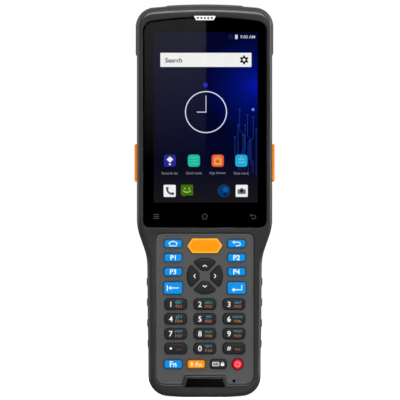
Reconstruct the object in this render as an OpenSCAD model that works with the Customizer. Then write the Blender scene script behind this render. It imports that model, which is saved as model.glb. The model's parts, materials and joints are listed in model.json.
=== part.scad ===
// Handheld barcode data terminal: touch display above, keypad below, scan window in the top end.
// Modelled lying down: x to the right, y up the length from the foot, z from the back to the front.
// stand() then sets it on its foot, with the display facing -Y and +Z up the length.

/* [Body] */
// Overall length, foot to the top of the scan hood
body_l = 198; // [192:0.5:204]
// Overall depth, back face to the key tops
body_d = 27; // [26:0.25:29]
// Width of the head
head_w = 68; // [66.5:0.25:70]
// Width at the top of the grip
grip_w = 57.5; // [56.5:0.25:59]
// Width at the bottom of the grip
grip_end_w = 56.4; // [55.5:0.1:57.4]
// Height of the waist's upper end above the foot
waist_y = 90; // [88:0.5:92]
// Length of the waist between head and grip
waist_l = 24.2; // [23:0.2:27]
// Radius of the waist's two bends
waist_r = 27; // [20:1:30]
// Corner radius of the head
head_r = 9; // [8.5:0.25:11]
// Corner radius of the grip's bottom end
end_r = 9.8; // [9:0.2:12]
// Crown radius of the top end
head_crown_r = 277; // [240:5:400]
// Crown radius of the bottom end
end_crown_r = 227; // [200:5:300]

/* [Housing] */
// Wall thickness of both housings
wall = 2; // [1.8:0.1:2.3]
// Height of the parting line above the back face
part_z = 13; // [12.8:0.1:14]
// Radius of the front edge
front_r = 2.2; // [1.6:0.1:2.4]
// How far the frame is set back at the top end, in front of the bumper
brow_set = 0.85; // [0.5:0.05:1]
// How much further the front edge leans in at the top end
brow = 0.6; // [0.3:0.1:1]
// Width of the rounded rear edge
rear_in = 7; // [5:0.25:7.5]
// Depth of the rounded rear edge
rear_h = 5.6; // [4.5:0.1:6]
// How far the keys stand above the flat front of the frame
key_above_frame = 0.8; // [0.6:0.1:1]

/* [Bumper and scan hood] */
// Reach of the bumper down the head's sides
bumper_l = 25; // [21:0.5:30]
// How far the bumper stands proud of the head
bumper_out = 0.55; // [0.4:0.05:0.8]
// Depth of the rebate that the bumper lies in
bumper_in = 0.9; // [0.7:0.05:1.1]
// Width of the scan hood
hood_w = 39; // [34:0.5:42]
// How far the scan hood stands above the bumper
hood_out = 0.45; // [0.3:0.05:0.8]
// Width of the scan window
window_w = 26; // [22:0.5:28]
// Height of the scan window, front to back
window_h = 8.8; // [7.6:0.1:9.2]
// Thickness of the scan window
window_t = 1.5; // [1:0.1:2]

/* [Display] */
// Width of the frame beside the glass
glass_side = 2.9; // [2.6:0.1:3.4]
// Width of the frame above the glass, at the middle
glass_top = 5.6; // [5.3:0.1:6]
// Width of the frame between the glass and the keypad panel
glass_low = 3; // [2.6:0.1:3.4]
// Thickness of the cover glass
glass_t = 1.1; // [0.9:0.1:1.3]
// How far the glass lies below the front of the frame
glass_sunk = 0.3; // [0.2:0.05:0.5]
// Thickness of the adhesive gasket under the glass
gasket_t = 0.3; // [0.2:0.05:0.4]
// Width of the border between the glass's edge and the display module
lcd_side = 3.1; // [2.8:0.1:4]
// Height of the border above the display module
lcd_top = 3.9; // [3.7:0.1:5]
// Height of the border below the display module
lcd_low = 6.6; // [6:0.1:8]
// Thickness of the display module
lcd_t = 2.2; // [1.8:0.1:2.4]

/* [Keypad] */
// Width of the keypad panel beside the function keys
panel_side = 3.7; // [3.3:0.1:4.2]
// Height of the keypad panel above the function keys
panel_top = 2.85; // [2.6:0.05:3.2]
// Height of the panel's lower edge above the foot
panel_y = 6.4; // [6:0.1:6.8]
// Thickness of the keypad panel
panel_t = 1.2; // [1:0.1:1.4]
// Width of a number key
num_w = 11.2; // [10:0.2:12]
// Height of a number key
num_h = 5.5; // [5:0.1:5.8]
// Distance between number key columns
num_dx = 14.65; // [14.2:0.05:15]
// Distance between number key rows
num_dy = 7.43; // [7.2:0.05:7.6]
// Height of the bottom row of number keys above the foot
num_y = 24.5; // [24.3:0.1:24.8]
// Width of a function key
fn_w = 9.3; // [8.6:0.1:9.8]
// Height of a function key
fn_h = 4.3; // [4:0.1:4.6]
// Distance between function key rows
fn_dy = 7.1; // [6.8:0.1:7.2]
// Distance of the function key columns from the middle
fn_x = 16; // [15.6:0.1:16.4]
// Radius of the ring of arrow keys
arrow_r = 9; // [8.4:0.1:9.2]
// Radius of the power key
power_r = 2.9; // [2.6:0.1:3.1]
// Travel of a key
key_travel = 0.6; // [0.4:0.05:0.7]
// Play between a key and its hole, on each side
key_play = 0.15; // [0.1:0.05:0.2]

/* [Triggers and grips] */
// Length of a side trigger
trigger_l = 19; // [17:0.5:21]
// Width of the housing wall in front of and behind a trigger's flange
trigger_edge = 0.3; // [0.2:0.05:0.6]
// Height of the triggers' middle above the waist
trigger_up = 28; // [27:0.5:30]
// How far a trigger stands out of the head's side
trigger_out = 1.3; // [1.2:0.1:1.8]
// Travel of a side trigger
trigger_travel = 0.8; // [0.5:0.05:0.9]
// Number of ribs on each side grip
rib_n = 4; // [3:1:5]
// Distance between ribs
rib_dy = 10.4; // [10:0.1:11.2]
// Height of a rib
rib_h = 4.2; // [3.4:0.1:5]
// How far a rib stands out of the grip's side
rib_out = 0.5; // [0.3:0.05:0.8]

/* [Battery bay] */
// Height of the battery cover's lower edge above the foot
cover_y = 10; // [9:0.5:10.5]
// Reach of the battery cover above the waist
cover_up = 10; // [8:0.5:12]
// Depth of the battery cover's side walls
cover_h = 8; // [7.4:0.1:8.2]
// Distance between the grip's side and the battery pack
battery_side = 7.7; // [7.4:0.1:9]
// Room between the battery pack and the cover
battery_room = 0.5; // [0.4:0.05:0.8]
// Shank radius of the cover's coin screw
coin_r = 1.5; // [1.3:0.05:1.7]
// Head radius of the cover's coin screw
coin_head_r = 4.5; // [4:0.1:5]

/* [Back and ends] */
// Length of the port cover
port_l = 17; // [16:0.5:19]
// Height of the port cover, front to back
port_h = 6; // [5.6:0.1:6.4]
// Distance of the port cover's middle below the head's top
port_down = 49; // [46:0.5:52]
// Width of the dock plate
dock_w = 21; // [20:0.2:22]
// Radius of the dock plate's two guide bores
guide_r = 1.25; // [1:0.05:1.4]
// Distance of a guide bore's axis from the plate's end
guide_in = 2.2; // [2:0.05:2.4]
// Width of the camera window
camera_w = 23; // [21:0.5:25]
// Height of the camera window
camera_h = 11; // [10:0.5:12]
// Radius of the rear loudspeaker
speaker_r = 7.5; // [6.5:0.25:8]

/* [Hidden] */
$fn = 48;
eps = 0.01;
gap = 0.15; // play around a fixed piece in its recess
bond = 0.05; // glue line behind a bonded piece
seat = 0.1; // gap between two stacked pieces
past = 1; // how far a cutter runs past the face that it cuts

// heights above the back face
frame_z = body_d - key_above_frame;
panel_z = frame_z - 0.6;
glass_z = frame_z - glass_sunk;
ledge_z = glass_z - glass_t - gasket_t;
front_in_z = frame_z - wall - 1.6;
lcd_z = ledge_z + gasket_t - seat - lcd_t;
chassis_t = 1.4;
chassis_head_z = lcd_z - seat - chassis_t;
key_flange_t = 0.8;
key_flange_z = panel_z - panel_t - seat - key_flange_t;
key_rim = 0.5;
mat_t = 0.8;
mat_top_z = key_flange_z - key_travel - 0.05;
nub_h = 0.45;
mat_z = mat_top_z - nub_h - mat_t;
dome_h = 0.3;
dome_r = 1.6;
board_t = 1;
keyboard_z = mat_z - seat - dome_h - board_t;
chassis_grip_z = keyboard_z - seat - chassis_t;
main_z = chassis_head_z - 3.2;
bay_floor_t = 1.4;
bump_z1 = frame_z - front_r - 0.9;

// plan outline
foot_w = dock_w + 0.4;
half_head = head_w / 2;
half_grip = grip_w / 2;
half_end = grip_end_w / 2;
waist_low = waist_y - waist_l;
waist_dx = half_head - half_grip;
bend_r = min(waist_r, 0.98 * (pow(waist_l, 2) + pow(waist_dx, 2)) / (4 * waist_dx));
bend_reach = norm([2 * bend_r - waist_dx, waist_l]);
waist_a = asin(2 * bend_r / bend_reach) - atan2(2 * bend_r - waist_dx, waist_l);
head_top = body_l - hood_out - bumper_out;
head_cx = half_head - head_r;
head_crown_y = head_top - head_crown_r;
head_cy = head_crown_y + sqrt(pow(head_crown_r - head_r, 2) - pow(head_cx, 2));
head_a = atan2(head_cy - head_crown_y, head_cx);
foot_drop = end_crown_r - sqrt(pow(end_crown_r, 2) - pow(foot_w / 2, 2));
end_cx = half_end - end_r;
end_crown_y = end_crown_r - foot_drop;
end_cy = end_crown_y - sqrt(pow(end_crown_r - end_r, 2) - pow(end_cx, 2));
end_a = atan2(end_cy - end_crown_y, end_cx);
side_a = atan2(half_grip - half_end, waist_low - end_cy);

function arc(c, r, a0, a1, n) = [for (i = [0:n]) let (a = a0 + (a1 - a0) * i / n) c + r * [cos(a), sin(a)]];
function flip(pts) = [for (i = [len(pts) - 1:-1:0]) [-pts[i][0], pts[i][1]]];

// The top end's points, leaning in by e more where they face up the length.
function leaning(c, r, a0, a1, n, e) =
    [for (i = [0:n]) let (a = a0 + (a1 - a0) * i / n) c + (r - e * pow(sin(a), 2)) * [cos(a), sin(a)]];

// Right half of the plan outline, set in by d, from the foot's edge to the top end.
function half_outline(d, e) = concat(
    arc([0, end_crown_y], end_crown_r - d, -90 + asin(foot_w / 2 / (end_crown_r - d)), end_a, 3),
    arc([end_cx, end_cy], end_r - d, end_a + 8, -side_a, 7),
    arc([half_grip + bend_r, waist_low], bend_r + d, 180 - side_a, 180 - waist_a, 5),
    arc([half_head - bend_r, waist_y], bend_r - d, -waist_a, 0, 5),
    leaning([head_cx, head_cy], head_r - d, 0, head_a, 8, e),
    leaning([0, head_crown_y], head_crown_r - d, head_a + 1.3, 90 - 1.3, 2, e));

function outline(d, e = 0) = let (right = half_outline(d, e))
    concat(right, [[0, head_top - d - e]], flip(right));

function at_z(pts, z) = [for (p = pts) [p[0], p[1], z]];

// Faces that close a ring of n points: one polygon, or strips between an outline's left and right half.
function cap(n, strips) = !strips
    ? [[for (i = [0:n - 1]) i]]
    : let (h = (n - 1) / 2)
        concat([[h - 1, h, h + 1]], [for (k = [0:h - 2]) [k, k + 1, n - 2 - k, n - 1 - k]]);

// A closed skin through rings of equal length, listed from the back to the front.
module loft(rings, strips = true) {
    n = len(rings[0]);
    m = len(rings);
    faces = concat(
        cap(n, strips),
        [for (f = cap(n, strips)) [for (i = [len(f) - 1:-1:0]) (m - 1) * n + f[i]]],
        [for (k = [0:m - 2], i = [0:n - 1]) let (j = (i + 1) % n)
            each [[k * n + i, k * n + n + i, k * n + n + j], [k * n + i, k * n + n + j, k * n + j]]]);
    polyhedron([for (r = rings) each r], faces);
}

function front_ring(t, d) = let (set_in = 1 - cos(t))
    at_z(outline(d + front_r * set_in, brow_set + brow * set_in), frame_z - front_r * (1 - sin(t)));
function rear_ring(t, d) = at_z(outline(d + rear_in * (1 - cos(t))), rear_h * (1 - sin(t)));

function front_rings(d) = [
    at_z(outline(d), part_z), at_z(outline(d), bump_z1 + gap), for (t = [0:30:90]) front_ring(t, d)];
function rear_rings(d) = [for (t = [90:-15:0]) rear_ring(t, d), at_z(outline(d), part_z)];
function cavity_rings() = [
    for (t = [75:-15:0])
        at_z(outline(wall + (rear_in - 0.4) * (1 - cos(t))), wall + (rear_h + 0.2) * (1 - sin(t))),
    at_z(outline(wall), part_z + past)];

module prism(pts, z0, z1) translate([0, 0, z0]) linear_extrude(z1 - z0) polygon(pts);
module block(x0, x1, y0, y1, z0, z1) translate([x0, y0, z0]) cube([x1 - x0, y1 - y0, z1 - z0]);
module post(x, y, z0, z1, r) translate([x, y, z0]) cylinder(h = z1 - z0, r = r);
module mirrored() {
    children();
    mirror([1, 0, 0]) children();
}

// Corner points of a rounded rectangle around [x, y].
function rounded(x, y, w, h, r, n = 4) = [for (q = [0:3])
    each arc([x, y] + [(q == 0 || q == 3 ? 1 : -1) * (w / 2 - r), (q < 2 ? 1 : -1) * (h / 2 - r)], r,
        90 * q, 90 * q + 90, n)];

// ---- screws that join the housings ----
screw_x = half_head - 8;
cover_top = waist_y + cover_up;
screw_ys = [cover_top + 6, head_cy - 7];
foot_screw = [end_cx - 1, 5.5];
screw_r = 1;
screw_head_r = 2.2;
screw_head_t = 1.5;
screw_sink = 1.2;
boss_r = 3;
boss_top_z = chassis_head_z - seat;
screw_tip_z = boss_top_z - 2;
function head_screws() = [for (s = [-1, 1], y = screw_ys) [s * screw_x, y]];
function foot_screws() = [for (s = [-1, 1]) [s * foot_screw[0], foot_screw[1]]];

// ---- triggers and port ----
trigger_rim = 1;
trigger_y = waist_y + trigger_up;
trigger_z = (part_z + front_in_z) / 2;
trigger_h = front_in_z - part_z - 2 * (trigger_rim + trigger_edge);
port_y = head_top - port_down;
port_z = part_z - 0.5 - port_h / 2;
port_t = 1.2;
port_knuckle = 0.7;
port_hinge_y = port_y + port_l / 2 - port_knuckle - gap;
port_hinge_x = half_head - port_knuckle - 0.1;
port_swing = 1.25; // room past the hinge for the cover's end as it opens
usb_w = 8.9;
usb_h = 3.2;
usb_l = 7.5;
usb_wall = 0.4;
usb_y = port_y - 1;
usb_x = half_head - port_t - 0.3;

// ---- keypad layout ----
panel_top_r = 3;
panel_low_r = 4.5;
panel_rim = 1.4;
badge_y = 4.9;
badge_h = 4.6;
badge_low_w = 20.3;
badge_top_w = 17;
badge_t = 0.7;
notch_low_w = badge_low_w + 2.9;
notch_top_w = badge_top_w + 3.4;
notch_y = badge_y + badge_h + 1.4;
mic_x = 14.7;
mic_y = panel_y + 1.7;
mic_r = 0.5;
low_row_y = num_y - 7.85;
num_top_y = num_y + 3 * num_dy;
edit_w = fn_w + 0.5;
edit_h = 6.5;
edit_y = num_top_y + num_h / 2 + 2.2 + edit_h / 2;
fn_low_y = edit_y + edit_h / 2 + 2.8 + fn_h / 2;
fn_top_y = fn_low_y + 2 * fn_dy;
scan_w = 17.8;
scan_flat_w = 12.6;
scan_h = 7.4;
scan_y = fn_top_y - 1.1;
panel_w = 2 * (fn_x + edit_w / 2 + panel_side);
panel_h = fn_top_y + fn_h / 2 + panel_top - panel_y;
low_gap = 2.3;
low_h = fn_h + 0.3;
alpha_w = fn_w + 0.1;
alpha_x = -fn_x + fn_w / 2 + low_gap + alpha_w / 2;
lock_w = fn_w - 1;
lock_x = alpha_x + alpha_w / 2 + low_gap + lock_w / 2;
arrow_y = fn_low_y - 2.2;
arrow_gap = 1.3;
arrow_inner = 2.9;
arrow_corner_r = 0.8;
key_room_y = low_row_y - power_r - key_rim - 0.5;
key_room_top = panel_y + panel_h - panel_rim;

// ---- display ----
half_glass = half_head - glass_side;
glass_y = panel_y + panel_h + glass_low;
glass_top_y = head_top - glass_top;
glass_crown_r = 0.64 * head_crown_r;
glass_r = 5;
glass_end_r = 3.5;
glass_cx = half_glass - glass_r;
glass_cy = glass_top_y - glass_crown_r + sqrt(pow(glass_crown_r - glass_r, 2) - pow(glass_cx, 2));
lcd_y = glass_y + lcd_low;
lcd_w = 2 * (half_glass - lcd_side);
lcd_h = glass_top_y - lcd_top - lcd_y;
lcd_room = 0.6;

function glass_points(d) = let (right = concat(
        arc([half_glass - glass_end_r, glass_y + glass_end_r], glass_end_r - d, -90, 0, 5),
        arc([glass_cx, glass_cy], glass_r - d, 0, atan2(glass_crown_r - glass_r, glass_cx), 6),
        arc([0, glass_top_y - glass_crown_r], glass_crown_r - d, 88, 89, 1)))
    concat([[0, glass_y + d]], right, [[0, glass_top_y - d]], flip(right));

module lcd_opening(grow, z0, z1)
    block(-lcd_w / 2 - grow, lcd_w / 2 + grow, lcd_y - grow, lcd_y + lcd_h + grow, z0, z1);

// ---- earpiece ----
ear_top_w = 11.2;
ear_low_w = 8.8;
ear_h = 2.2;
ear_y = glass_top_y - 1.5;
ear_t = 1.1;
ear_hole_n = 5;
ear_hole_dx = 1.74;
ear_hole_r = 0.42;
function ear_points(d) = [
    [ear_low_w / 2 + d, ear_y - d], [ear_top_w / 2 + d, ear_y + ear_h + d],
    [-ear_top_w / 2 - d, ear_y + ear_h + d], [-ear_low_w / 2 - d, ear_y - d]];

// ---- keys: name, kind, x, y, width, height, turn ----
keys = concat(
    [
        ["home", "bar", -fn_x, fn_top_y, fn_w, fn_h, 0],
        ["back", "bar", fn_x, fn_top_y, fn_w, fn_h, 0],
        ["p1", "bar", -fn_x, fn_low_y + fn_dy, fn_w, fn_h, 0],
        ["p2", "bar", fn_x, fn_low_y + fn_dy, fn_w, fn_h, 0],
        ["p3", "bar", -fn_x, fn_low_y, fn_w, fn_h, 0],
        ["p4", "bar", fn_x, fn_low_y, fn_w, fn_h, 0],
        ["tab", "bar", -fn_x, edit_y, edit_w, edit_h, 0],
        ["enter", "bar", fn_x, edit_y, edit_w, edit_h, 0],
        ["scan", "hex", 0, scan_y, scan_w, scan_h, 0],
        ["up", "arrow", 0, arrow_y, arrow_r, 0, 0],
        ["left", "arrow", 0, arrow_y, arrow_r, 0, 90],
        ["down", "arrow", 0, arrow_y, arrow_r, 0, 180],
        ["right", "arrow", 0, arrow_y, arrow_r, 0, 270]
    ],
    [for (i = [1:9]) let (column = (i - 1) % 3, row = floor((i - 1) / 3))
        [str(i), "number", (column - 1) * num_dx, num_top_y - row * num_dy, num_w, num_h, 0]],
    [
        ["dot", "number", -num_dx, num_y, num_w, num_h, 0],
        ["0", "number", 0, num_y, num_w, num_h, 0],
        ["hash", "number", num_dx, num_y, num_w, num_h, 0],
        ["fn", "bar", -fn_x, low_row_y, fn_w, low_h, 0],
        ["alpha", "bar", alpha_x, low_row_y, alpha_w, low_h, 0],
        ["lock", "bar", lock_x, low_row_y, lock_w, low_h, 0],
        ["power", "round", fn_x + 0.5, low_row_y, 2 * power_r, 2 * power_r, 0]
    ]);

function spun(pts, a) = [for (p = pts) [p[0] * cos(a) - p[1] * sin(a), p[0] * sin(a) + p[1] * cos(a)]];
function shifted(pts, v) = [for (p = pts) p + v];

function hex_points(g) = let (
        rise = scan_h / 2,
        run = (scan_w - scan_flat_w) / 2,
        slope = norm([run, rise]),
        tip = scan_w / 2 + g * slope / rise,
        flat = scan_flat_w / 2 + g * (slope - run) / rise)
    [[tip, 0], [flat, rise + g], [-flat, rise + g], [-tip, 0], [-flat, -rise - g], [flat, -rise - g]];

function arrow_points(r, g) = let (
        q = arrow_gap + sqrt(2) * arrow_corner_r,
        px = (-q + sqrt(2 * pow(r - arrow_corner_r, 2) - q * q)) / 2,
        a = atan2(px + q, px),
        corner = arc([px, px + q], arrow_corner_r + g, -45, a, 3))
    concat(corner, arc([0, 0], r + g, a + 6, 174 - a, 6), flip(corner),
        [for (side = [-1, 1]) [side * (arrow_inner - arrow_gap + g * (sqrt(2) - 1)), arrow_inner - g]]);

// Outline of key k, grown by g.
function key_points(k, g) = shifted(
    k[1] == "hex" ? hex_points(g) :
    k[1] == "arrow" ? spun(arrow_points(k[4], g), k[6]) :
    k[1] == "round" ? arc([0, 0], k[4] / 2 + g, 0, 345, 23) :
    rounded(0, 0, k[4] + 2 * g, k[5] + 2 * g, (k[1] == "number" ? 1.9 : 1.3) + g),
    [k[2], k[3]]);

function key_middle(k) = [k[2], k[3]] + (k[1] == "arrow" ? spun([[0, k[4] * 0.62]], k[6])[0] : [0, 0]);

function panel_points(d) = let (right = concat(
        [[notch_top_w / 2 + d, notch_y + d], [notch_low_w / 2 + d, panel_y + d]],
        arc([panel_w / 2 - panel_low_r, panel_y + panel_low_r], panel_low_r - d, -90, 0, 6),
        arc([panel_w / 2 - panel_top_r, panel_y + panel_h - panel_top_r], panel_top_r - d, 0, 90, 5)))
    concat([[0, notch_y + d]], right, flip(right));

module key_room(grow, z0, z1)
    block(-panel_w / 2 + panel_rim - grow, panel_w / 2 - panel_rim + grow, key_room_y - grow,
        key_room_top + grow, z0, z1);

// ---- battery bay ----
bay_floor_z = part_z - bay_floor_t;
coin_y = cover_top - 6;
coin_boss_r = 3.6;
battery_y = cover_y + 3;
battery_w = grip_end_w - 2 * battery_side;
coin_plate_r = coin_head_r + 1.2;
battery_l = coin_y - coin_plate_r - 0.5 - battery_y;
coin_play = 0.08;
coin_head_t = 1.5;
coin_head_z = 0.4;
coin_floor_z = coin_head_z + coin_head_t + 0.05;
coin_plate_t = 1.2;
coin_mouth_z = coin_floor_z + coin_plate_t + seat;
coin_grip = 2;
coin_tip_z = coin_mouth_z + coin_grip;
coin_slack = 0.15;
cover_seam = 0.2;
tongue_x = 11;
tongue_w = 6;
tongue_l = 2;
tongue_t = 1.1;
battery_r = 3;
rear_in_z = wall + (rear_h + 0.2) * (1 - sin(75)); // flat floor inside the rear housing
battery_z = rear_in_z + battery_room;
battery_t = bay_floor_z - seat - battery_z;

// ---- scan hood ----
hood_y = head_top - 7;
hood_rim = 2.4;
window_z1 = main_z - 1.6;
window_z0 = window_z1 - window_h;
hood_z0 = window_z0 - hood_rim;
hood_z1 = window_z1 + hood_rim;
window_sink = 1.4;
hood_bevel = 0.8;
window_top_y = body_l - window_sink - pow(window_w / 2, 2) / (2 * head_crown_r);
window_r = 1.5;
window_ledge = 1;
window_cz = (window_z0 + window_z1) / 2;
engine_w = window_w - 4;
engine_l = 15;
engine_z0 = window_z0;
engine_y0 = hood_y - 0.3 - engine_l;
engine_eye_x = 5;
engine_eye_r = 2.6;
engine_eye_deep = 3;
engine_eye_sink = 0.6;

// ---- dock ----
dock_t = 4;
dock_h = 6;
dock_z = part_z - 0.8 - dock_h;
dock_cz = dock_z + dock_h / 2;
contact_n = 6;
contact_dx = 2;
contact_w = 1.1;
contact_h = 3;
contact_t = 1;
contact_sink = 0.1;
contact_span = contact_n * contact_dx;

// ---- back of the head ----
camera_x = -10;
camera_y = head_cy - 27;
camera_t = 1.1;
camera_sink = 0.3;
camera_post_r = 1.2;
camera_hole_w = camera_w - 6;
camera_hole_h = camera_h - 3;
camera_board_w = camera_hole_w + 4 * camera_post_r + 0.4;
camera_board_t = 0.6;
camera_lens_r = 3.2;
camera_lens_z = camera_sink + camera_t + 0.2;
camera_body_z = camera_lens_z + 1;
camera_board_z = camera_body_z + 2.6;
camera_eye_x = camera_x - camera_hole_w / 2 + camera_lens_r + 0.4;
lamp_r = 1.8;
lamp_x = camera_x + camera_hole_w / 2 - lamp_r - 0.4;
speaker_x = 16;
speaker_t = 3;
ear_speaker_w = 12;
ear_speaker_l = 5;
ear_speaker_t = 2.2;
speaker_z = rear_in_z + seat;
speaker_hole_r = 0.7;
speaker_hole_dx = 2.4;

// ---- housings ----
rib_t = 1.6; // ribs between the screw bosses and the walls
bumper_y = head_top - bumper_l;
bump_z0 = 3.6;
bump_bevel = 0.5;
grip_in = 0.9;
grip_y0 = 19;
grip_y1 = 66;
grip_z0 = part_z + 0.6;
grip_z1 = frame_z - front_r - 1;
groove_in = 1.1;
groove_w = 0.6;
groove_h = 0.5;
foot_wall = 1.6;
bay_lip = 0.4;

// ---- inside ----
chassis_y0 = key_room_y + 0.3;
chassis_step_y = key_room_top + 1.5;
chassis_head_top = lcd_y + lcd_h - 1;
chassis_head_x = half_head - wall - 3.5;
chassis_grip_x = panel_w / 2 - panel_rim - 0.6;
main_x = screw_x - boss_r - 0.5;
standoff_r = 2;
standoff_bore_r = 0.8;
standoff_x = main_x - 4.5;
main_y0 = lcd_y + 1;
main_y1 = chassis_head_top - 2;
switch_w = 7;
switch_h = 4;
switch_l = 3;
switch_x = half_head - wall - seat - trigger_rim - trigger_travel - seat - switch_l;
// shield cans on the main board: middle x, distance above the board's lower edge, width, length
can_h = 2;
cans = [[-6, 12, 20, 20], [-2, 38, 24, 20], [14, 14, 10, 14]];

// ---- helpers for the pieces ----
module side_prism(pts, x0, x1)
    translate([x0, 0, 0]) rotate([90, 0, 90]) linear_extrude(x1 - x0) polygon(pts);
module end_prism(pts, y0, y1) translate([0, y1, 0]) rotate([90, 0, 0]) linear_extrude(y1 - y0) polygon(pts);

// Everything above height y0, between two depths, further out than inset d.
module outer_band(d, y0, z0, z1) difference() {
    block(-head_w, head_w, y0, body_l + past, z0, z1);
    prism(outline(d), z0 - past, z1 + past);
}

module stand() translate([0, body_d / 2, 0]) rotate([90, 0, 0]) children();

// ---- the housings' pieces ----
module grip_zone(grow) mirrored()
    block(half_grip - 12, half_head, grip_y0 - grow, grip_y1 + grow, grip_z0 - grow, grip_z1 + grow);

module trigger_hole(grow, x0, x1) side_prism(
    rounded(trigger_y, trigger_z, trigger_l + 2 * grow, trigger_h + 2 * grow, 2 + grow), x0, x1);

module front_housing() color("#3a3a3a") difference() {
    union() {
        difference() {
            loft(front_rings(0));
            prism(outline(wall), part_z - past, front_in_z);
        }
        for (p = head_screws()) {
            post(p[0], p[1], part_z, boss_top_z, boss_r);
            scale([sign(p[0]), 1, 1])
                block(screw_x, half_head - wall / 2, p[1] - rib_t / 2, p[1] + rib_t / 2, part_z,
                    boss_top_z);
        }
        for (p = foot_screws()) post(p[0], p[1], part_z, front_in_z + eps, boss_r);
    }
    prism(glass_points(-gap), ledge_z, frame_z + past);
    lcd_opening(lcd_room / 2, front_in_z - past, frame_z);
    prism(ear_points(gap), glass_z - ear_t, frame_z + past);
    block(-ear_low_w / 2 + 0.6, ear_low_w / 2 - 0.6, ear_y + 0.5, ear_y + ear_h - 0.5, front_in_z - past,
        frame_z);
    prism(panel_points(-gap), panel_z - panel_t, frame_z + past);
    key_room(0, front_in_z - past, frame_z);
    prism(badge_points(gap), frame_z - badge_t, frame_z + past);
    post(mic_x, mic_y, front_in_z - past, frame_z, mic_r);
    outer_band(bumper_in + bond, bumper_y - gap, part_z - past, bump_z1 + gap);
    hood_zone(gap);
    mirrored() trigger_hole(gap, half_head - wall - past, half_head + past);
    difference() {
        grip_zone(gap);
        prism(outline(grip_in), part_z, frame_z);
    }
    for (p = concat(head_screws(), foot_screws()))
        post(p[0], p[1], part_z - past, screw_tip_z + 0.5, screw_r + 0.05);
}

module rear_room(y0, y1) intersection() {
    loft(cavity_rings());
    block(-head_w, head_w, y0, y1, -past, body_d);
}

// The rear housing's outer form without the part that the battery cover closes.
module rear_skin() intersection() {
    loft(rear_rings(0));
    union() {
        block(-head_w, head_w, -past, cover_y, -past, body_d);
        block(-head_w, head_w, cover_top, body_l + past, -past, body_d);
        block(-head_w, head_w, 0, body_l, cover_h, body_d);
    }
}

module rear_housing() color("#353535") difference() {
    union() {
        difference() {
            rear_skin();
            rear_room(-past, cover_y - foot_wall);
            rear_room(cover_top + foot_wall, body_l + past);
            intersection() {
                prism(outline(wall), 0, bay_floor_z);
                block(-head_w, head_w, cover_y + bay_lip, cover_top - bay_lip, 0, part_z);
            }
        }
        for (p = concat(head_screws(), foot_screws())) post(p[0], p[1], past, part_z, boss_r);
        post(0, coin_y, coin_mouth_z, bay_floor_z + eps, coin_boss_r);
        block(-engine_w / 2 + 2, engine_w / 2 - 2, engine_y0 + 2, engine_y0 + engine_l - 2, past,
            engine_z0 - seat);
        block(usb_x - usb_l, half_head - wall - 0.5, usb_y - usb_w / 3, usb_y + usb_w / 3, past,
            port_z - usb_h / 2 - seat);
        for (side = [-1, 1])
            post(camera_x + side * (camera_board_w / 2 - camera_post_r), camera_y, past,
                camera_board_z - seat, camera_post_r);
        intersection() {
            dock_frame(2, 0, dock_t + 1.6);
            block(-head_w, head_w, 0, cover_y, 0, part_z);
        }
    }
    for (p = concat(head_screws(), foot_screws())) {
        post(p[0], p[1], -past, screw_sink + screw_head_t, screw_head_r + gap);
        post(p[0], p[1], 0, part_z + past, screw_r + 0.1);
    }
    post(0, coin_y, coin_mouth_z - past, coin_tip_z + 0.5, coin_r + coin_slack);
    difference() {
        prism(outline(groove_in), part_z - groove_h, part_z + past);
        prism(outline(groove_in + groove_w), part_z - groove_h - past, part_z + 2 * past);
    }
    outer_band(bumper_in + bond, bumper_y - gap, bump_z0 - gap, part_z + past);
    hood_zone(gap);
    dock_frame(gap, -past, dock_t);
    block(-contact_span / 2, contact_span / 2, 0, cover_y - foot_wall, dock_cz - contact_h / 2,
        dock_cz + contact_h / 2);
    cover_tongues(0.3, 1);
    port_recess();
    side_prism(rounded(usb_y, port_z, usb_w + 0.4, usb_h + 0.4, 1.5), half_head - wall - past, half_head);
    prism(rounded(camera_x, camera_y, camera_w + 2 * gap, camera_h + 2 * gap, 3), -past,
        camera_sink + camera_t);
    prism(rounded(camera_x, camera_y, camera_hole_w, camera_hole_h, 2), 0, rear_in_z + past);
    for (p = speaker_holes()) post(p[0], p[1], -past, rear_in_z + past, speaker_hole_r);
}

module housing_gasket() color("#1c1c1c") difference() {
    prism(outline(groove_in), part_z - groove_h, part_z);
    prism(outline(groove_in + groove_w), part_z - groove_h - past, part_z + past);
    hood_zone(2 * gap);
}

// A screw with a countersunk head, a cross of two slots in it, and a plain shank.
function cross(w) = [[w, 1], [1, w]] * screw_head_r * 0.62;
module housing_screws() color("#8a8a8c") for (p = concat(head_screws(), foot_screws()))
    translate([p[0], p[1], 0]) difference() {
        union() {
            post(0, 0, screw_sink, screw_sink + screw_head_t, screw_head_r);
            post(0, 0, screw_sink + eps, screw_tip_z, screw_r);
        }
        for (c = cross(0.22))
            block(-c[0], c[0], -c[1], c[1], screw_sink - past, screw_sink + 0.8);
    }

// ---- top end ----
module bumper_form() loft([
    at_z(outline(-bumper_out + bump_bevel), bump_z0),
    at_z(outline(-bumper_out), bump_z0 + bump_bevel),
    at_z(outline(-bumper_out), bump_z1 - bump_bevel),
    at_z(outline(-bumper_out + bump_bevel), bump_z1)]);

module top_bumper() color("#3e3e3e") difference() {
    bumper_form();
    prism(outline(bumper_in), -past, body_d);
    block(-head_w, head_w, -past, bumper_y, -past, body_d);
    hood_zone(gap);
}

module hood_zone(grow)
    block(-hood_w / 2 - grow, hood_w / 2 + grow, hood_y - grow, body_l + past, hood_z0 - grow,
        hood_z1 + grow);

module window_hole(grow, y0, y1)
    end_prism(rounded(0, window_cz, window_w + 2 * grow, window_h + 2 * grow, window_r + grow), y0, y1);

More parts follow.
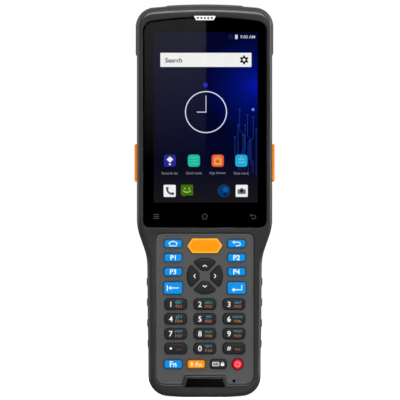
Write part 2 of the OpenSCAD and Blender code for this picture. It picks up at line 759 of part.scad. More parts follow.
module scan_hood() color("#454545") difference() {
    intersection() {
        prism(outline(-bumper_out - hood_out), hood_z0, hood_z1);
        end_prism(rounded(0, (hood_z0 + hood_z1) / 2, hood_w, hood_z1 - hood_z0, hood_bevel), hood_y,
            body_l + past);
    }
    window_hole(gap, window_top_y - window_t, body_l + past);
    window_hole(-window_ledge, hood_y - past, body_l);
}

module scan_window() color("#4a1218", 0.8) window_hole(0, window_top_y - window_t, window_top_y);

module scan_engine() color("#2a2a2e") {
    difference() {
        block(-engine_w / 2, engine_w / 2, engine_y0, engine_y0 + engine_l, engine_z0,
            engine_z0 + window_h);
        for (x = [-1, 1] * engine_eye_x) translate([x, engine_y0 + engine_l + past, window_cz])
            rotate([90, 0, 0]) cylinder(h = engine_eye_deep + past, r = engine_eye_r);
    }
    for (x = [-1, 1] * engine_eye_x) translate([x, engine_y0 + engine_l - engine_eye_sink, window_cz])
        rotate([90, 0, 0]) cylinder(h = engine_eye_deep - engine_eye_sink, r = engine_eye_r);
}

// ---- display ----
module cover_glass() color("#050506", 0.9) difference() {
    prism(glass_points(0), glass_z - glass_t, glass_z);
    prism(ear_points(gap), glass_z - glass_t - past, glass_z + past);
}

module glass_gasket() color("#101010") difference() {
    prism(glass_points(0.1), ledge_z, ledge_z + gasket_t);
    lcd_opening(lcd_room, ledge_z - past, ledge_z + gasket_t + past);
    block(-ear_low_w / 2, ear_low_w / 2, ear_y + 0.2, body_l, ledge_z - past, ledge_z + gasket_t + past);
}

module display_module() color("#0b1030")
    prism(rounded(0, lcd_y + lcd_h / 2, lcd_w, lcd_h, 0.8), lcd_z, lcd_z + lcd_t);

module earpiece_grille() color("#e6e6e6") difference() {
    prism(ear_points(0), glass_z - ear_t, glass_z);
    for (i = [0:ear_hole_n - 1])
        post((i - (ear_hole_n - 1) / 2) * ear_hole_dx, ear_y + ear_h / 2, 0, body_d, ear_hole_r);
}

module loudspeakers() color("#5a5a5e") {
    translate([0, ear_y + ear_h / 2, front_in_z - seat - ear_speaker_t])
        prism(rounded(0, 0, ear_speaker_w, ear_speaker_l, 1), 0, ear_speaker_t);
    post(speaker_x, camera_y, speaker_z, speaker_z + speaker_t, speaker_r);
}

// ---- keypad ----
function badge_points(d) = [
    [badge_low_w / 2 + d, badge_y - d], [badge_top_w / 2 + d, badge_y + badge_h + d],
    [-badge_top_w / 2 - d, badge_y + badge_h + d], [-badge_low_w / 2 - d, badge_y - d]];

module badge_plate() color("#0c0c0c") prism(badge_points(0), frame_z - badge_t, frame_z - 0.1);

module keypad_panel() color("#4e4e4e") difference() {
    prism(panel_points(0), panel_z - panel_t, panel_z);
    for (k = keys) prism(key_points(k, key_play), panel_z - panel_t - past, panel_z + past);
    post(mic_x, mic_y, panel_z - panel_t - past, panel_z + past, mic_r);
}

module keypad_mat() color("#d8d8d2") {
    key_room(-0.3, mat_z, mat_z + mat_t);
    for (k = keys) translate(key_middle(k)) post(0, 0, mat_z + mat_t - eps, mat_top_z, 1.3);
}

module keypad_board() color("#1f5a36") {
    key_room(-0.3, keyboard_z, keyboard_z + board_t);
    for (k = keys) translate(key_middle(k))
        post(0, 0, keyboard_z + board_t - eps, keyboard_z + board_t + dome_h, dome_r);
}

function key_top(k) = body_d - (k[1] == "arrow" ? 0.3 : k[1] == "bar" ? 0.1 : 0);
function key_color(k) =
    k[0] == "scan" || k[0] == "alpha" ? "#ff9800" :
    k[0] == "power" ? "#e0203c" :
    k[1] == "bar" && k[0] != "lock" ? "#1494ee" : "#2b2b2b";

module key_cap(k) color(key_color(k)) {
    prism(key_points(k, key_rim), key_flange_z, key_flange_z + key_flange_t);
    loft([
        at_z(key_points(k, 0), key_flange_z + key_flange_t - eps),
        at_z(key_points(k, 0), key_top(k) - 0.45),
        at_z(key_points(k, -0.12), key_top(k) - 0.15),
        at_z(key_points(k, -0.42), key_top(k))], false);
}

// ---- inside ----
function standoffs() = [for (s = [-1, 1], y = [main_y0 + 5, main_y1 - 5]) [s * standoff_x, y]];

module chassis() color("#9a9ca0") difference() {
    union() {
        block(-chassis_grip_x, chassis_grip_x, chassis_y0, chassis_step_y + chassis_t, chassis_grip_z,
            chassis_grip_z + chassis_t);
        block(-chassis_grip_x, chassis_grip_x, chassis_step_y, chassis_step_y + chassis_t, chassis_grip_z,
            chassis_head_z + chassis_t);
        block(-chassis_grip_x, chassis_grip_x, chassis_step_y, lcd_y + 4, chassis_head_z,
            chassis_head_z + chassis_t);
        block(-chassis_head_x, chassis_head_x, lcd_y + 2, chassis_head_top, chassis_head_z,
            chassis_head_z + chassis_t);
        for (p = standoffs()) post(p[0], p[1], main_z + board_t, chassis_head_z + eps, standoff_r);
    }
    for (p = standoffs()) post(p[0], p[1], main_z, chassis_head_z + chassis_t / 2, standoff_bore_r);
}

module main_board() color("#20633c") difference() {
    union() {
        block(-main_x, main_x, main_y0, main_y1, main_z, main_z + board_t);
        block(-switch_x - switch_l / 2, switch_x + switch_l / 2, trigger_y - switch_w, trigger_y + switch_w,
            main_z, main_z + board_t);
        mirrored() block(switch_x, switch_x + switch_l, trigger_y - switch_w / 2, trigger_y + switch_w / 2,
            main_z + (board_t - switch_h) / 2, main_z + (board_t + switch_h) / 2);
        for (c = cans) block(c[0] - c[2] / 2, c[0] + c[2] / 2, main_y0 + c[1], main_y0 + c[1] + c[3],
            main_z - can_h, main_z + eps);
    }
    for (p = standoffs()) post(p[0], p[1], main_z - past, main_z + board_t + past, standoff_bore_r);
}

module camera_module() color("#202226") {
    block(camera_x - camera_board_w / 2, camera_x + camera_board_w / 2, camera_y - camera_hole_h / 2,
        camera_y + camera_hole_h / 2, camera_board_z, camera_board_z + camera_board_t);
    prism(rounded(camera_eye_x, camera_y, 2 * camera_lens_r + 1, camera_hole_h - 0.4, 0.6), camera_body_z,
        camera_board_z + eps);
    post(camera_eye_x, camera_y, camera_lens_z, camera_body_z + eps, camera_lens_r);
    post(lamp_x, camera_y, camera_lens_z, camera_board_z + eps, lamp_r);
}

module camera_window() color("#08080a", 0.9)
    prism(rounded(camera_x, camera_y, camera_w, camera_h, 3 - gap), camera_sink, camera_sink + camera_t);

function speaker_holes() = [for (row = [-2:2], i = [-2:2])
    let (p = [i + (row % 2 == 0 ? 0 : 0.5), row * sqrt(3) / 2] * speaker_hole_dx)
    if (norm(p) < speaker_r - speaker_hole_r - 1) [speaker_x, camera_y] + p];

// ---- battery ----
module battery_pack() color("#26282c")
    end_prism(rounded(0, battery_z + battery_t / 2, battery_w, battery_t, battery_r), battery_y,
        battery_y + battery_l);

module cover_tongues(grow, lift) for (s = [-1, 1])
    block(s * tongue_x - tongue_w / 2 - grow, s * tongue_x + tongue_w / 2 + grow, cover_y - tongue_l - grow,
        cover_y + 1 + grow, rear_in_z - 0.1 - grow, rear_in_z - 0.1 + tongue_t + grow + lift);

module battery_cover() color("#373737") difference() {
    union() {
        intersection() {
            difference() {
                loft(rear_rings(0));
                loft(cavity_rings());
            }
            block(-head_w, head_w, cover_y + cover_seam, cover_top - cover_seam, -past,
                cover_h - cover_seam);
        }
        post(0, coin_y, past, coin_floor_z + coin_plate_t, coin_plate_r);
        difference() {
            cover_tongues(0, 0);
            block(-head_w, head_w, cover_y + cover_seam + 2, cover_top, 0, 9);
        }
    }
    post(0, coin_y, -past, coin_floor_z, coin_head_r + gap);
    post(0, coin_y, -past, coin_floor_z + coin_plate_t + past, coin_r + coin_play);
}

module coin_screw() color("#b4b4b8") difference() {
    union() {
        post(0, coin_y, coin_head_z, coin_head_z + coin_head_t, coin_head_r);
        post(0, coin_y, coin_head_z + eps, coin_tip_z, coin_r);
    }
    block(-coin_head_r - past, coin_head_r + past, coin_y - 0.7, coin_y + 0.7, coin_head_z - past,
        coin_head_z + 0.8);
}

// ---- dock ----
module dock_frame(grow, y0, y1)
    end_prism(rounded(0, dock_cz, dock_w + 2 * grow, dock_h + 2 * grow, 1 + grow), y0, y1);

module contact_blocks(y0) for (i = [0:contact_n - 1])
    translate([(i - (contact_n - 1) / 2) * contact_dx, 0, dock_cz])
        block(-contact_w / 2, contact_w / 2, y0, contact_sink + contact_t, -contact_h / 2, contact_h / 2);

module dock_plate() color("#1a1a1a") difference() {
    dock_frame(0, 0, dock_t);
    for (s = [-1, 1]) translate([s * (dock_w / 2 - guide_in), dock_t + past, dock_cz]) rotate([90, 0, 0])
        cylinder(h = dock_t + 2 * past, r = guide_r);
    contact_blocks(-past);
}
module dock_contacts() color("#c9a24a") contact_blocks(contact_sink);

// ---- sides ----
module side_grips() color("#2c2c2c") {
    difference() {
        intersection() {
            prism(outline(0), grip_z0, grip_z1);
            grip_zone(0);
        }
        prism(outline(grip_in), part_z, frame_z);
    }
    for (i = [0:rib_n - 1]) intersection() {
        grip_zone(0);
        difference() {
            prism(outline(-rib_out), grip_z0 + 1, grip_z1 - 1);
            prism(outline(0.2), part_z, frame_z);
        }
        block(-head_w, head_w, rib_y(i) - rib_h / 2, rib_y(i) + rib_h / 2, 0, body_d);
    }
}
function rib_y(i) = (grip_y0 + grip_y1) / 2 + (i - (rib_n - 1) / 2) * rib_dy;

module trigger() {
    x_in = half_head - wall - seat;
    side_prism(rounded(trigger_y, trigger_z, trigger_l + 2 * trigger_rim, trigger_h + 2 * trigger_rim, 2.5),
        x_in - trigger_rim, x_in);
    trigger_hole(0, x_in - eps, half_head + trigger_out - 0.5);
    hull() {
        trigger_hole(0, half_head + trigger_out - 0.6, half_head + trigger_out - 0.5);
        trigger_hole(-0.6, half_head + trigger_out - 0.1, half_head + trigger_out);
    }
}
module right_trigger() color("#e07d2a") trigger();
module left_trigger() color("#e07d2a") mirror([1, 0, 0]) trigger();

module usb_socket() color("#b8b8bc") difference() {
    side_prism(rounded(usb_y, port_z, usb_w, usb_h, usb_h / 2 - 0.1), usb_x - usb_l, usb_x);
    difference() {
        side_prism(rounded(usb_y, port_z, usb_w - 2 * usb_wall, usb_h - 2 * usb_wall,
            usb_h / 2 - 0.1 - usb_wall), usb_x - usb_l + 1, usb_x + past);
        block(0, usb_x - 0.8, usb_y - 3.3, usb_y + 3.3, port_z - 0.35, port_z + 0.35);
    }
}

module port_recess() {
    side_prism(rounded(port_y, port_z, port_l + 2 * gap, port_h + 2 * gap, 1.6), half_head - port_t - gap,
        half_head + past);
    post(port_hinge_x, port_hinge_y, port_z - port_h / 2 - gap, port_z + port_h / 2 + gap,
        port_knuckle + gap);
    block(half_head - port_t - gap, half_head + past, port_hinge_y, port_hinge_y + port_swing,
        port_z - port_h / 2 - gap, port_z + port_h / 2 + gap);
}

module port_cover() color("#242424") {
    intersection() {
        side_prism(rounded(port_y, port_z, port_l, port_h, 1.4), half_head - port_t, half_head);
        block(0, head_w, 0, port_hinge_y, 0, body_d);
    }
    post(port_hinge_x, port_hinge_y, port_z - port_h / 2 + 0.2, port_z + port_h / 2 - 0.2, port_knuckle);
    side_prism(rounded(usb_y, port_z, usb_w - 2 * usb_wall - 0.5, usb_h - 2 * usb_wall - 0.5, 0.8),
        half_head - port_t - 0.8, half_head - port_t + eps);
}

stand() front_housing();
stand() rear_housing();
stand() housing_gasket();
stand() housing_screws();
stand() top_bumper();
stand() scan_hood();
stand() scan_window();
stand() scan_engine();
stand() cover_glass();
stand() glass_gasket();
stand() display_module();
stand() earpiece_grille();
stand() loudspeakers();
stand() keypad_panel();
stand() keypad_mat();
stand() keypad_board();
stand() badge_plate();
stand() chassis();
stand() main_board();
stand() camera_module();
stand() camera_window();
stand() battery_pack();
stand() battery_cover();
stand() coin_screw();
stand() dock_plate();
stand() dock_contacts();
stand() side_grips();
stand() left_trigger();
stand() right_trigger();
stand() usb_socket();
stand() port_cover();
for (k = keys) stand() key_cap(k);
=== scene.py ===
# Handheld barcode data terminal: detailed skins, keys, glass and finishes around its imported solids.
import bpy
import json
import numpy as np
from math import asin, atan2, cos, degrees, hypot, pi, radians, sin, sqrt
from mathutils import Matrix, Vector

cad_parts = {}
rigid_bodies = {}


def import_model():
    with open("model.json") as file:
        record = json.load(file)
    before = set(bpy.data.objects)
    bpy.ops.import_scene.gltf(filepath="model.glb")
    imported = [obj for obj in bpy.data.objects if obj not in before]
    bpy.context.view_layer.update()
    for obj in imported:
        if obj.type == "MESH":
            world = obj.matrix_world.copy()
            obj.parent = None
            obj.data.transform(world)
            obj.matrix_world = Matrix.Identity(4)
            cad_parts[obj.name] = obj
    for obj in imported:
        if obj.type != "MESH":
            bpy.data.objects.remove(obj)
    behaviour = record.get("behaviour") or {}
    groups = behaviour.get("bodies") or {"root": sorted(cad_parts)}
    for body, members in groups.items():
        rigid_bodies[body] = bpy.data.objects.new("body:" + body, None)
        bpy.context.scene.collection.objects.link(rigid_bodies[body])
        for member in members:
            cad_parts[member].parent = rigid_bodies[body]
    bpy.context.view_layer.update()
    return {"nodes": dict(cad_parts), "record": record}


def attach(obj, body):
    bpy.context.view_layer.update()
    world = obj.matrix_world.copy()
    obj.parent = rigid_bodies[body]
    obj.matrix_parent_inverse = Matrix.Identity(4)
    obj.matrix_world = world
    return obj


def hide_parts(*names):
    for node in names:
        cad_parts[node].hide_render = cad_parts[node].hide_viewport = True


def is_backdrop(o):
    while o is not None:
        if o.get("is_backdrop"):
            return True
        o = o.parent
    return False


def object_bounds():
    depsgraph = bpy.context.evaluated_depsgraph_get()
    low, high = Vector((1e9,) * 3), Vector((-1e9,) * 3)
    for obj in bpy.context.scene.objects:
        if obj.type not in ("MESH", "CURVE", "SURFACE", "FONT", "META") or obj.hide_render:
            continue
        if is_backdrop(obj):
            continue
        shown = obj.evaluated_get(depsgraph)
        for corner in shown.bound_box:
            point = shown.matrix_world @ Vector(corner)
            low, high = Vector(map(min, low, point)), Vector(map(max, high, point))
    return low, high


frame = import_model()
print("frame loaded:", len(frame["nodes"]), "solids")

# Everything is worked out lying down, in millimetres: x to the right, y up the length, z from back to front.
shell = {
    "depth": 27, "headTop": 197, "headHalf": 34, "gripHalf": 28.75, "endHalf": 28.2,
    "waistTop": 90, "waistLow": 65.8, "bendR": 27, "headR": 9, "endR": 9.8,
    "headCrown": 277, "endCrown": 227, "footHalf": 10.7, "wall": 2, "partZ": 13, "faceZ": 26.2,
}
play = 0.15  # clearance round whatever sits in a hole
past = {"x": 40, "y": 201}  # how far a tool reaches to be past every wall
hair = 0.012  # from one printed level to the next
# This turns the lying millimetres into the standing frame's metres.
standing = Matrix(((1e-3, 0, 0, 0), (0, 0, -1e-3, shell["depth"] / 2e3), (0, 1e-3, 0, 0), (0, 0, 0, 1)))


def arc(cx, cy, r, a0, a1, n):
    # Points on a circle about (cx, cy) from angle a0 to a1, in degrees; r may vary along the arc.
    a = np.radians(np.linspace(a0, a1, n))
    return np.stack([cx + r * np.cos(a), cy + r * np.sin(a)], 1)


def cornerOf(half, base, crown, r, way=1):
    # A corner of radius r between a side and a crown about (0, base): its centre, and its end in degrees.
    x = half - r
    y = base + way * sqrt((crown - r) ** 2 - x ** 2)
    return x, y, degrees(atan2(y - base, x))


def bendAngle():
    # Where the waist's lower bend hands over to the upper one, in degrees.
    dx, dy = shell["headHalf"] - shell["gripHalf"], shell["waistTop"] - shell["waistLow"]
    bends = 2 * shell["bendR"]
    return degrees(asin(bends / hypot(bends - dx, dy)) - atan2(bends - dx, dy))


headBase = shell["headTop"] - shell["headCrown"]
endBase = sqrt(shell["endCrown"] ** 2 - shell["footHalf"] ** 2)
headX, headY, headA = cornerOf(shell["headHalf"], headBase, shell["headCrown"], shell["headR"])
endX, endY, endA = cornerOf(shell["endHalf"], endBase, shell["endCrown"], shell["endR"], -1)
sideA = degrees(atan2(shell["gripHalf"] - shell["endHalf"], shell["waistLow"] - endY))
waistA = bendAngle()


def crownArc(d, lean):
    # Head corner and crown up to the middle, set in by d, and by lean more where they face up the length.
    s, apart = shell, 1.3
    a = np.radians(np.linspace(0, headA, 22))
    b = np.radians(np.linspace(headA + apart, 90 - apart, 8))
    return np.concatenate([
        arc(headX, headY, s["headR"] - d - lean * np.sin(a) ** 2, 0, headA, 22),
        arc(0, headBase, s["headCrown"] - d - lean * np.sin(b) ** 2, headA + apart, 90 - apart, 8),
        [[0, s["headTop"] - d - lean]]])


def mirroredOn(right):
    # The right half of a ring, which ends on the middle, and its mirror image.
    return np.concatenate([right, right[:-1][::-1] * [-1, 1]])


def outline(d, lean=0):
    # The plan outline set in by d: foot crown, end corner, the waist's two bends, head corner and crown.
    s = shell
    foot = -90 + degrees(asin(s["footHalf"] / (s["endCrown"] - d)))
    return mirroredOn(np.concatenate([
        arc(0, endBase, s["endCrown"] - d, foot, endA, 6),
        arc(endX, endY, s["endR"] - d, endA + 5, -sideA, 18),
        arc(s["gripHalf"] + s["bendR"], s["waistLow"], s["bendR"] + d, 180 - sideA, 180 - waistA, 14),
        arc(s["headHalf"] - s["bendR"], s["waistTop"], s["bendR"] - d, -waistA, 0, 14),
        crownArc(d, lean)]))


def atHeight(ring, z):
    return np.column_stack([ring, np.broadcast_to(z, len(ring))])


def loft(rings):
    # A closed shape, as points and faces, through rings of equal length that run anticlockwise seen from the
    # last one's side.
    rings = np.stack(rings)
    m, n = rings.shape[:2]
    k, i = np.arange(m - 1)[:, None] * n, np.arange(n)[None, :]
    j = (i + 1) % n
    faces = np.stack([k + i, k + j, k + n + j, k + n + i], -1).reshape(-1, 4).tolist()
    return rings.reshape(-1, 3), faces + [list(range(n - 1, -1, -1)), list(range((m - 1) * n, m * n))]


def stacked(profile, shape):
    # A loft through the outline shape(inset) at each inset and height of the profile.
    return loft([atHeight(shape(d), z) for d, z in profile])


def column(ring, z0, z1):
    return loft([atHeight(ring, z0), atHeight(ring, z1)])


def joined(*shapes):
    starts = np.cumsum([0] + [len(points) for points, _ in shapes])
    return (np.concatenate([points for points, _ in shapes]),
            [[i + int(start) for i in face] for (_, faces), start in zip(shapes, starts) for face in faces])


def flipped(shape):
    return shape[0] * [-1, 1, 1], [face[::-1] for face in shape[1]]


def moved(shape, x, y, z=0.0):
    return shape[0] + [x, y, z], shape[1]


def rounded(corners, radii, steps=5):
    # An anticlockwise polygon with arcs for corners, as a function of the inset d: each arc keeps its centre,
    # and its radius shrinks by d at an outer corner and grows by d at an inner one.
    p = np.array(corners, float)
    radii = np.broadcast_to(np.array(radii, float), len(p))
    into, out = p - np.roll(p, 1, 0), np.roll(p, -1, 0) - p
    into /= np.linalg.norm(into, axis=1)[:, None]
    out /= np.linalg.norm(out, axis=1)[:, None]
    n0, n1 = into[:, ::-1] * [1, -1], out[:, ::-1] * [1, -1]
    turn = np.arctan2(into[:, 0] * out[:, 1] - into[:, 1] * out[:, 0], (into * out).sum(1))
    side = np.where(turn < 0, -1.0, 1.0)
    reach = (n0 + n1) / (1 + (n0 * n1).sum(1))[:, None]
    a = np.arctan2(n0[:, 1], n0[:, 0])[:, None] + turn[:, None] * np.linspace(0, 1, steps + 1)
    normal = np.stack([np.cos(a), np.sin(a)], -1)

    def ring(d=0.0):
        r = np.where(side > 0, np.maximum(radii, d + 0.02), radii)
        middle = p - reach * (side * r)[:, None]
        return (middle[:, None] + normal * (side * (r - side * d))[:, None, None]).reshape(-1, 2)
    return ring


def oblong(x0, x1, y0, y1):
    return np.array([[x0, y0], [x1, y0], [x1, y1], [x0, y1]], float)


def box(x, y, w, h, r, steps=5):
    return rounded(oblong(x - w / 2, x + w / 2, y - h / 2, y + h / 2), r, steps)


def boxOf(size, grow=0.0, steps=5):
    # The rounded box that a piece's settings name, grown on all sides.
    return box(*size["mid"], size["w"] + 2 * grow, size["h"] + 2 * grow, size["r"] + grow, steps)


def disc(x, y, r, n=40):
    return lambda d=0.0: arc(x, y, r - d, 0, 360 - 360 / n, n)


def onPlane(ring, w, plane):
    # A flat ring put at w along the third axis: "front" faces +z, "side" faces +x, "end" faces -y.
    u, v, w = ring[:, 0], ring[:, 1], np.broadcast_to(w, len(ring))
    return np.stack({"front": [u, v, w], "side": [w, u, v], "end": [u, w, v]}[plane], 1)


def quarter(r, steps):
    # Inset and rise of a quarter round edge, from the wall to the face.
    a = np.linspace(0, pi / 2, steps + 1)
    return np.stack([r * (1 - np.cos(a)), r * np.sin(a)], 1)


def plate(shape, lo, hi, low=0.0, high=0.0, plane="front", steps=4):
    # A slab of the outline shape(inset) between lo and hi, with quarter round edges of radius low and high.
    rise = quarter(high, steps) if high else np.zeros((1, 2))
    fall = quarter(low, steps)[::-1] if low else np.zeros((1, 2))
    profile = [(i, lo + low - up) for i, up in fall] + [(i, hi - high + up) for i, up in rise]
    rings = [onPlane(shape(i), w, plane) for i, w in profile]
    return loft(rings[::-1] if plane == "end" else rings)


def well(shape, floor, top, rim, grow=0.0, steps=4):
    # The tool for a recess whose upper rim is a quarter round of radius rim.
    turns = np.linspace(0, pi / 2, steps + 1)
    return stacked([(-grow, floor)] + [(-grow - rim * (1 - cos(t)), top - rim * (1 - sin(t))) for t in turns]
                   + [(-grow - rim, top + 1)], shape)


def brick(x0, x1, y0, y1, z0, z1):
    return column(oblong(x0, x1, y0, y1), z0, z1)


def slab(y0, y1, z0, z1):
    return brick(-past["x"], past["x"], y0, y1, z0, z1)


def rod(x, y, z0, z1, r, n=24):
    return column(disc(x, y, r, n)(), z0, z1)


def sideHole(ring, x0, x1):
    return loft([onPlane(ring, x, "side") for x in (x0, x1)])


def domed(ring, z, rise, steps=6):
    # The closed end of a skin: from the ring towards its middle, rising as 1 - s to the fourth.
    middle, shares = ring.mean(0), np.linspace(1, 0.02, steps)[1:]
    return [atHeight(middle + (ring - middle) * s, z + rise * (1 - s ** 4)) for s in shares]


def asMesh(name, shape):
    if isinstance(shape, bpy.types.Mesh):
        return shape
    mesh = bpy.data.meshes.new(name)
    mesh.from_pydata(shape[0].tolist(), [], shape[1])
    return mesh


def linked(name, data):
    made = bpy.data.objects.new(name, data)
    bpy.context.scene.collection.objects.link(made)
    return made


def evaluated(made):
    # The object's mesh with its modifiers applied.
    bpy.context.view_layer.update()
    return bpy.data.meshes.new_from_object(made.evaluated_get(bpy.context.evaluated_depsgraph_get()))


def carved(shape, *tools, operation="DIFFERENCE"):
    # The shape less all of the tools, or joined with the one tool, or only what lies in it.
    base, toolbox = linked("tool", asMesh("tool", shape)), bpy.data.collections.new("tools")
    bpy.context.scene.collection.children.link(toolbox)
    for tool in tools:
        toolbox.objects.link(linked("tool", asMesh("tool", tool)))
    cut = base.modifiers.new("cut", "BOOLEAN")
    cut.operation, cut.solver, cut.operand_type, cut.collection = operation, "EXACT", "COLLECTION", toolbox
    mesh = evaluated(base)
    for made in [base, *toolbox.objects]:
        bpy.data.objects.remove(made)
    bpy.data.collections.remove(toolbox)
    return mesh


def within(shape, tool):
    return carved(shape, tool, operation="INTERSECT")


def piece(name, shape, look, body="root", stands=None, sharp=30):
    # The finished piece: its mesh stood up in place, smooth but for its sharp edges, and riding on its body.
    mesh = asMesh(name, shape)
    mesh.name = name
    mesh.transform(standing)
    mesh.materials.clear()
    mesh.materials.append(finish[look])
    mesh.polygons.foreach_set("use_smooth", np.ones(len(mesh.polygons), bool))
    mesh.set_sharp_from_angle(angle=radians(sharp))
    made = linked(name, mesh)
    made.modifiers.new("even_normals", "WEIGHTED_NORMAL").keep_sharp = True
    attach(made, body)
    if stands:
        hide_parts(stands)


def linear(code):
    # A web colour as the shader's linear values.
    c = np.array([int(code[i:i + 2], 16) for i in (1, 3, 5)]) / 255
    return (*np.where(c <= 0.04045, c / 12.92, ((c + 0.055) / 1.055) ** 2.4), 1.0)


def scaled(colour, share, lift=0.0):
    return tuple(np.append(np.array(colour[:3]) * share + lift, 1))


def adder(tree):
    # Returns a function that adds a node, sets its properties and fills or links its inputs.
    def add(kind, inputs=None, **properties):
        node = tree.nodes.new("ShaderNode" + kind)
        for key, value in properties.items():
            setattr(node, key, value)
        for key, value in (inputs or {}).items():
            if isinstance(value, bpy.types.NodeSocket):
                tree.links.new(value, node.inputs[key])
            else:
                node.inputs[key].default_value = value
        return node
    return add


def newGroup(name, inputs, outputs, kind="NodeSocketFloat"):
    # A node group with its adder, what it is given and where its results are put.
    tree = bpy.data.node_groups.new(name, "ShaderNodeTree")
    for label, value in inputs.items():
        tree.interface.new_socket(label, in_out="INPUT", socket_type="NodeSocketFloat").default_value = value
    for label in outputs:
        tree.interface.new_socket(label, in_out="OUTPUT", socket_type=kind)
    ends = tree.nodes.new("NodeGroupInput").outputs, tree.nodes.new("NodeGroupOutput").inputs
    return tree, adder(tree), tree.links.new, *ends


def maths(add, operation, *values, **more):
    return add("Math", dict(enumerate(values)), operation=operation, **more).outputs[0]


def blend(add, share, first, second):
    return add("Mix", {"Factor": share, 6: first, 7: second}, data_type="RGBA").outputs[2]


def remap(add, value, low, high, toLow=0.0, toHigh=1.0):
    ends = {"From Min": low, "From Max": high, "To Min": toLow, "To Max": toHigh}
    return add("MapRange", {"Value": value, **ends}).outputs[0]


def mouldGroup():
    # Skin of a moulded or cast surface: fine grains of a size in millimetres, and a slow change of tone.
    tree, add, link, given, put = newGroup("mouldedSkin", {"Grain": 0.12, "Drift": 18.0}, ["Height", "Tone"])
    place = add("TexCoord").outputs["Object"]
    fine, slow = (maths(add, "DIVIDE", 1000.0, given[size]) for size in ("Grain", "Drift"))
    noise = add("TexNoise", {"Vector": place, "Scale": fine, "Detail": 2.0}).outputs["Fac"]
    pits = add("TexVoronoi", {"Vector": place, "Scale": fine}).outputs["Distance"]
    link(maths(add, "ADD", noise, pits), put["Height"])
    tone = add("TexNoise", {"Vector": place, "Scale": slow, "Detail": 3.0}).outputs["Fac"]
    link(remap(add, tone, 0.3, 0.7), put["Tone"])
    return tree


def brushGroup():
    # Fine scratches drawn along the object's x direction.
    tree, add, link, given, put = newGroup("brushed", {"Pitch": 0.15}, ["Lines"])
    place, scale = add("TexCoord").outputs["Object"], maths(add, "DIVIDE", 1000.0, given["Pitch"])
    stretched = add("Mapping", {"Vector": place, "Scale": (0.05, 1.0, 1.0)}).outputs[0]
    link(add("TexNoise", {"Vector": stretched, "Scale": scale, "Detail": 1.0}).outputs["Fac"], put["Lines"])
    return tree


def traceGroup():
    # Printed tracks on a circuit board: the edges of square cells, seen as a mask.
    tree, add, link, given, put = newGroup("tracks", {"Pitch": 2.4}, ["Mask"])
    place, scale = add("TexCoord").outputs["Object"], maths(add, "DIVIDE", 1000.0, given["Pitch"])
    cells = add("TexVoronoi", {"Vector": place, "Scale": scale}, distance="CHEBYCHEV").outputs["Distance"]
    link(remap(add, cells, 0.44, 0.5), put["Mask"])
    return tree


skin, brushed, tracks = mouldGroup(), brushGroup(), traceGroup()


def shaded(name, colour, roughness, **sockets):
    # A new material with its Principled shader, the shader's constants set on its own sockets.
    material = bpy.data.materials.new(name)
    material.use_nodes = True
    shader = material.node_tree.nodes["Principled BSDF"]
    for key, value in {"Base Color": linear(colour), "Roughness": roughness, **sockets}.items():
        shader.inputs[key].default_value = value
    return material, adder(material.node_tree), material.node_tree.links.new, shader.inputs


def moulded(name, colour, roughness, grain, bump, tone, sockets):
    # Plastic, rubber or cast metal: the colour drifts by a share of itself, and so does the gloss.
    material, add, link, shader = shaded(name, colour, roughness, **sockets)
    surface = add("Group", {"Grain": grain, "Drift": 18.0}, node_tree=skin).outputs
    low, high = (scaled(linear(colour), share) for share in (1 - tone, 1 + tone))
    link(blend(add, surface["Tone"], low, high), shader["Base Color"])
    link(remap(add, surface["Tone"], 0.0, 1.0, roughness - 0.03, roughness + 0.03), shader["Roughness"])
    raised = add("Bump", {"Strength": bump, "Distance": 2e-5, "Height": surface["Height"]})
    link(raised.outputs[0], shader["Normal"])
    return material


def metal(name, colour, roughness, pitch=0.15):
    material, add, link, shader = shaded(name, colour, roughness, Metallic=1.0)
    lines = add("Group", {"Pitch": pitch}, node_tree=brushed).outputs[0]
    link(remap(add, lines, 0.0, 1.0, roughness - 0.08, roughness + 0.12), shader["Roughness"])
    link(add("Bump", {"Strength": 0.15, "Distance": 1e-5, "Height": lines}).outputs[0], shader["Normal"])
    return material


def board(name, colour):
    material, add, link, shader = shaded(name, colour, 0.35)
    drawn = add("Group", node_tree=tracks).outputs[0]
    link(blend(add, drawn, linear(colour), scaled(linear(colour), 1.8, 0.01)), shader["Base Color"])
    link(add("Bump", {"Strength": 0.4, "Distance": 3e-5, "Height": drawn}).outputs[0], shader["Normal"])
    return material


def seeThrough(name, colour, roughness=0.0):
    # Transparent plate, its polish broken by the faintest unevenness.
    material, add, link, shader = shaded(name, colour, roughness, **{"Transmission Weight": 1.0, "IOR": 1.5})
    surface = add("Group", {"Grain": 6.0, "Drift": 60.0}, node_tree=skin).outputs
    link(remap(add, surface["Tone"], 0.0, 1.0, roughness, roughness + 0.01), shader["Roughness"])
    return material


lit = {"Emission Strength": 1.0, "Specular IOR Level": 0.0}


def glowing(name, colour, strength=1.0):
    # A lit part of the screen's picture: what it shows is its own light.
    material, add, link, shader = shaded(name, "#000000", 0.5, **{**lit, "Emission Strength": strength})
    surface = add("Group", {"Grain": 0.3, "Drift": 5.0}, node_tree=skin).outputs
    link(blend(add, surface["Tone"], scaled(linear(colour), 0.96), linear(colour)), shader["Emission Color"])
    return material


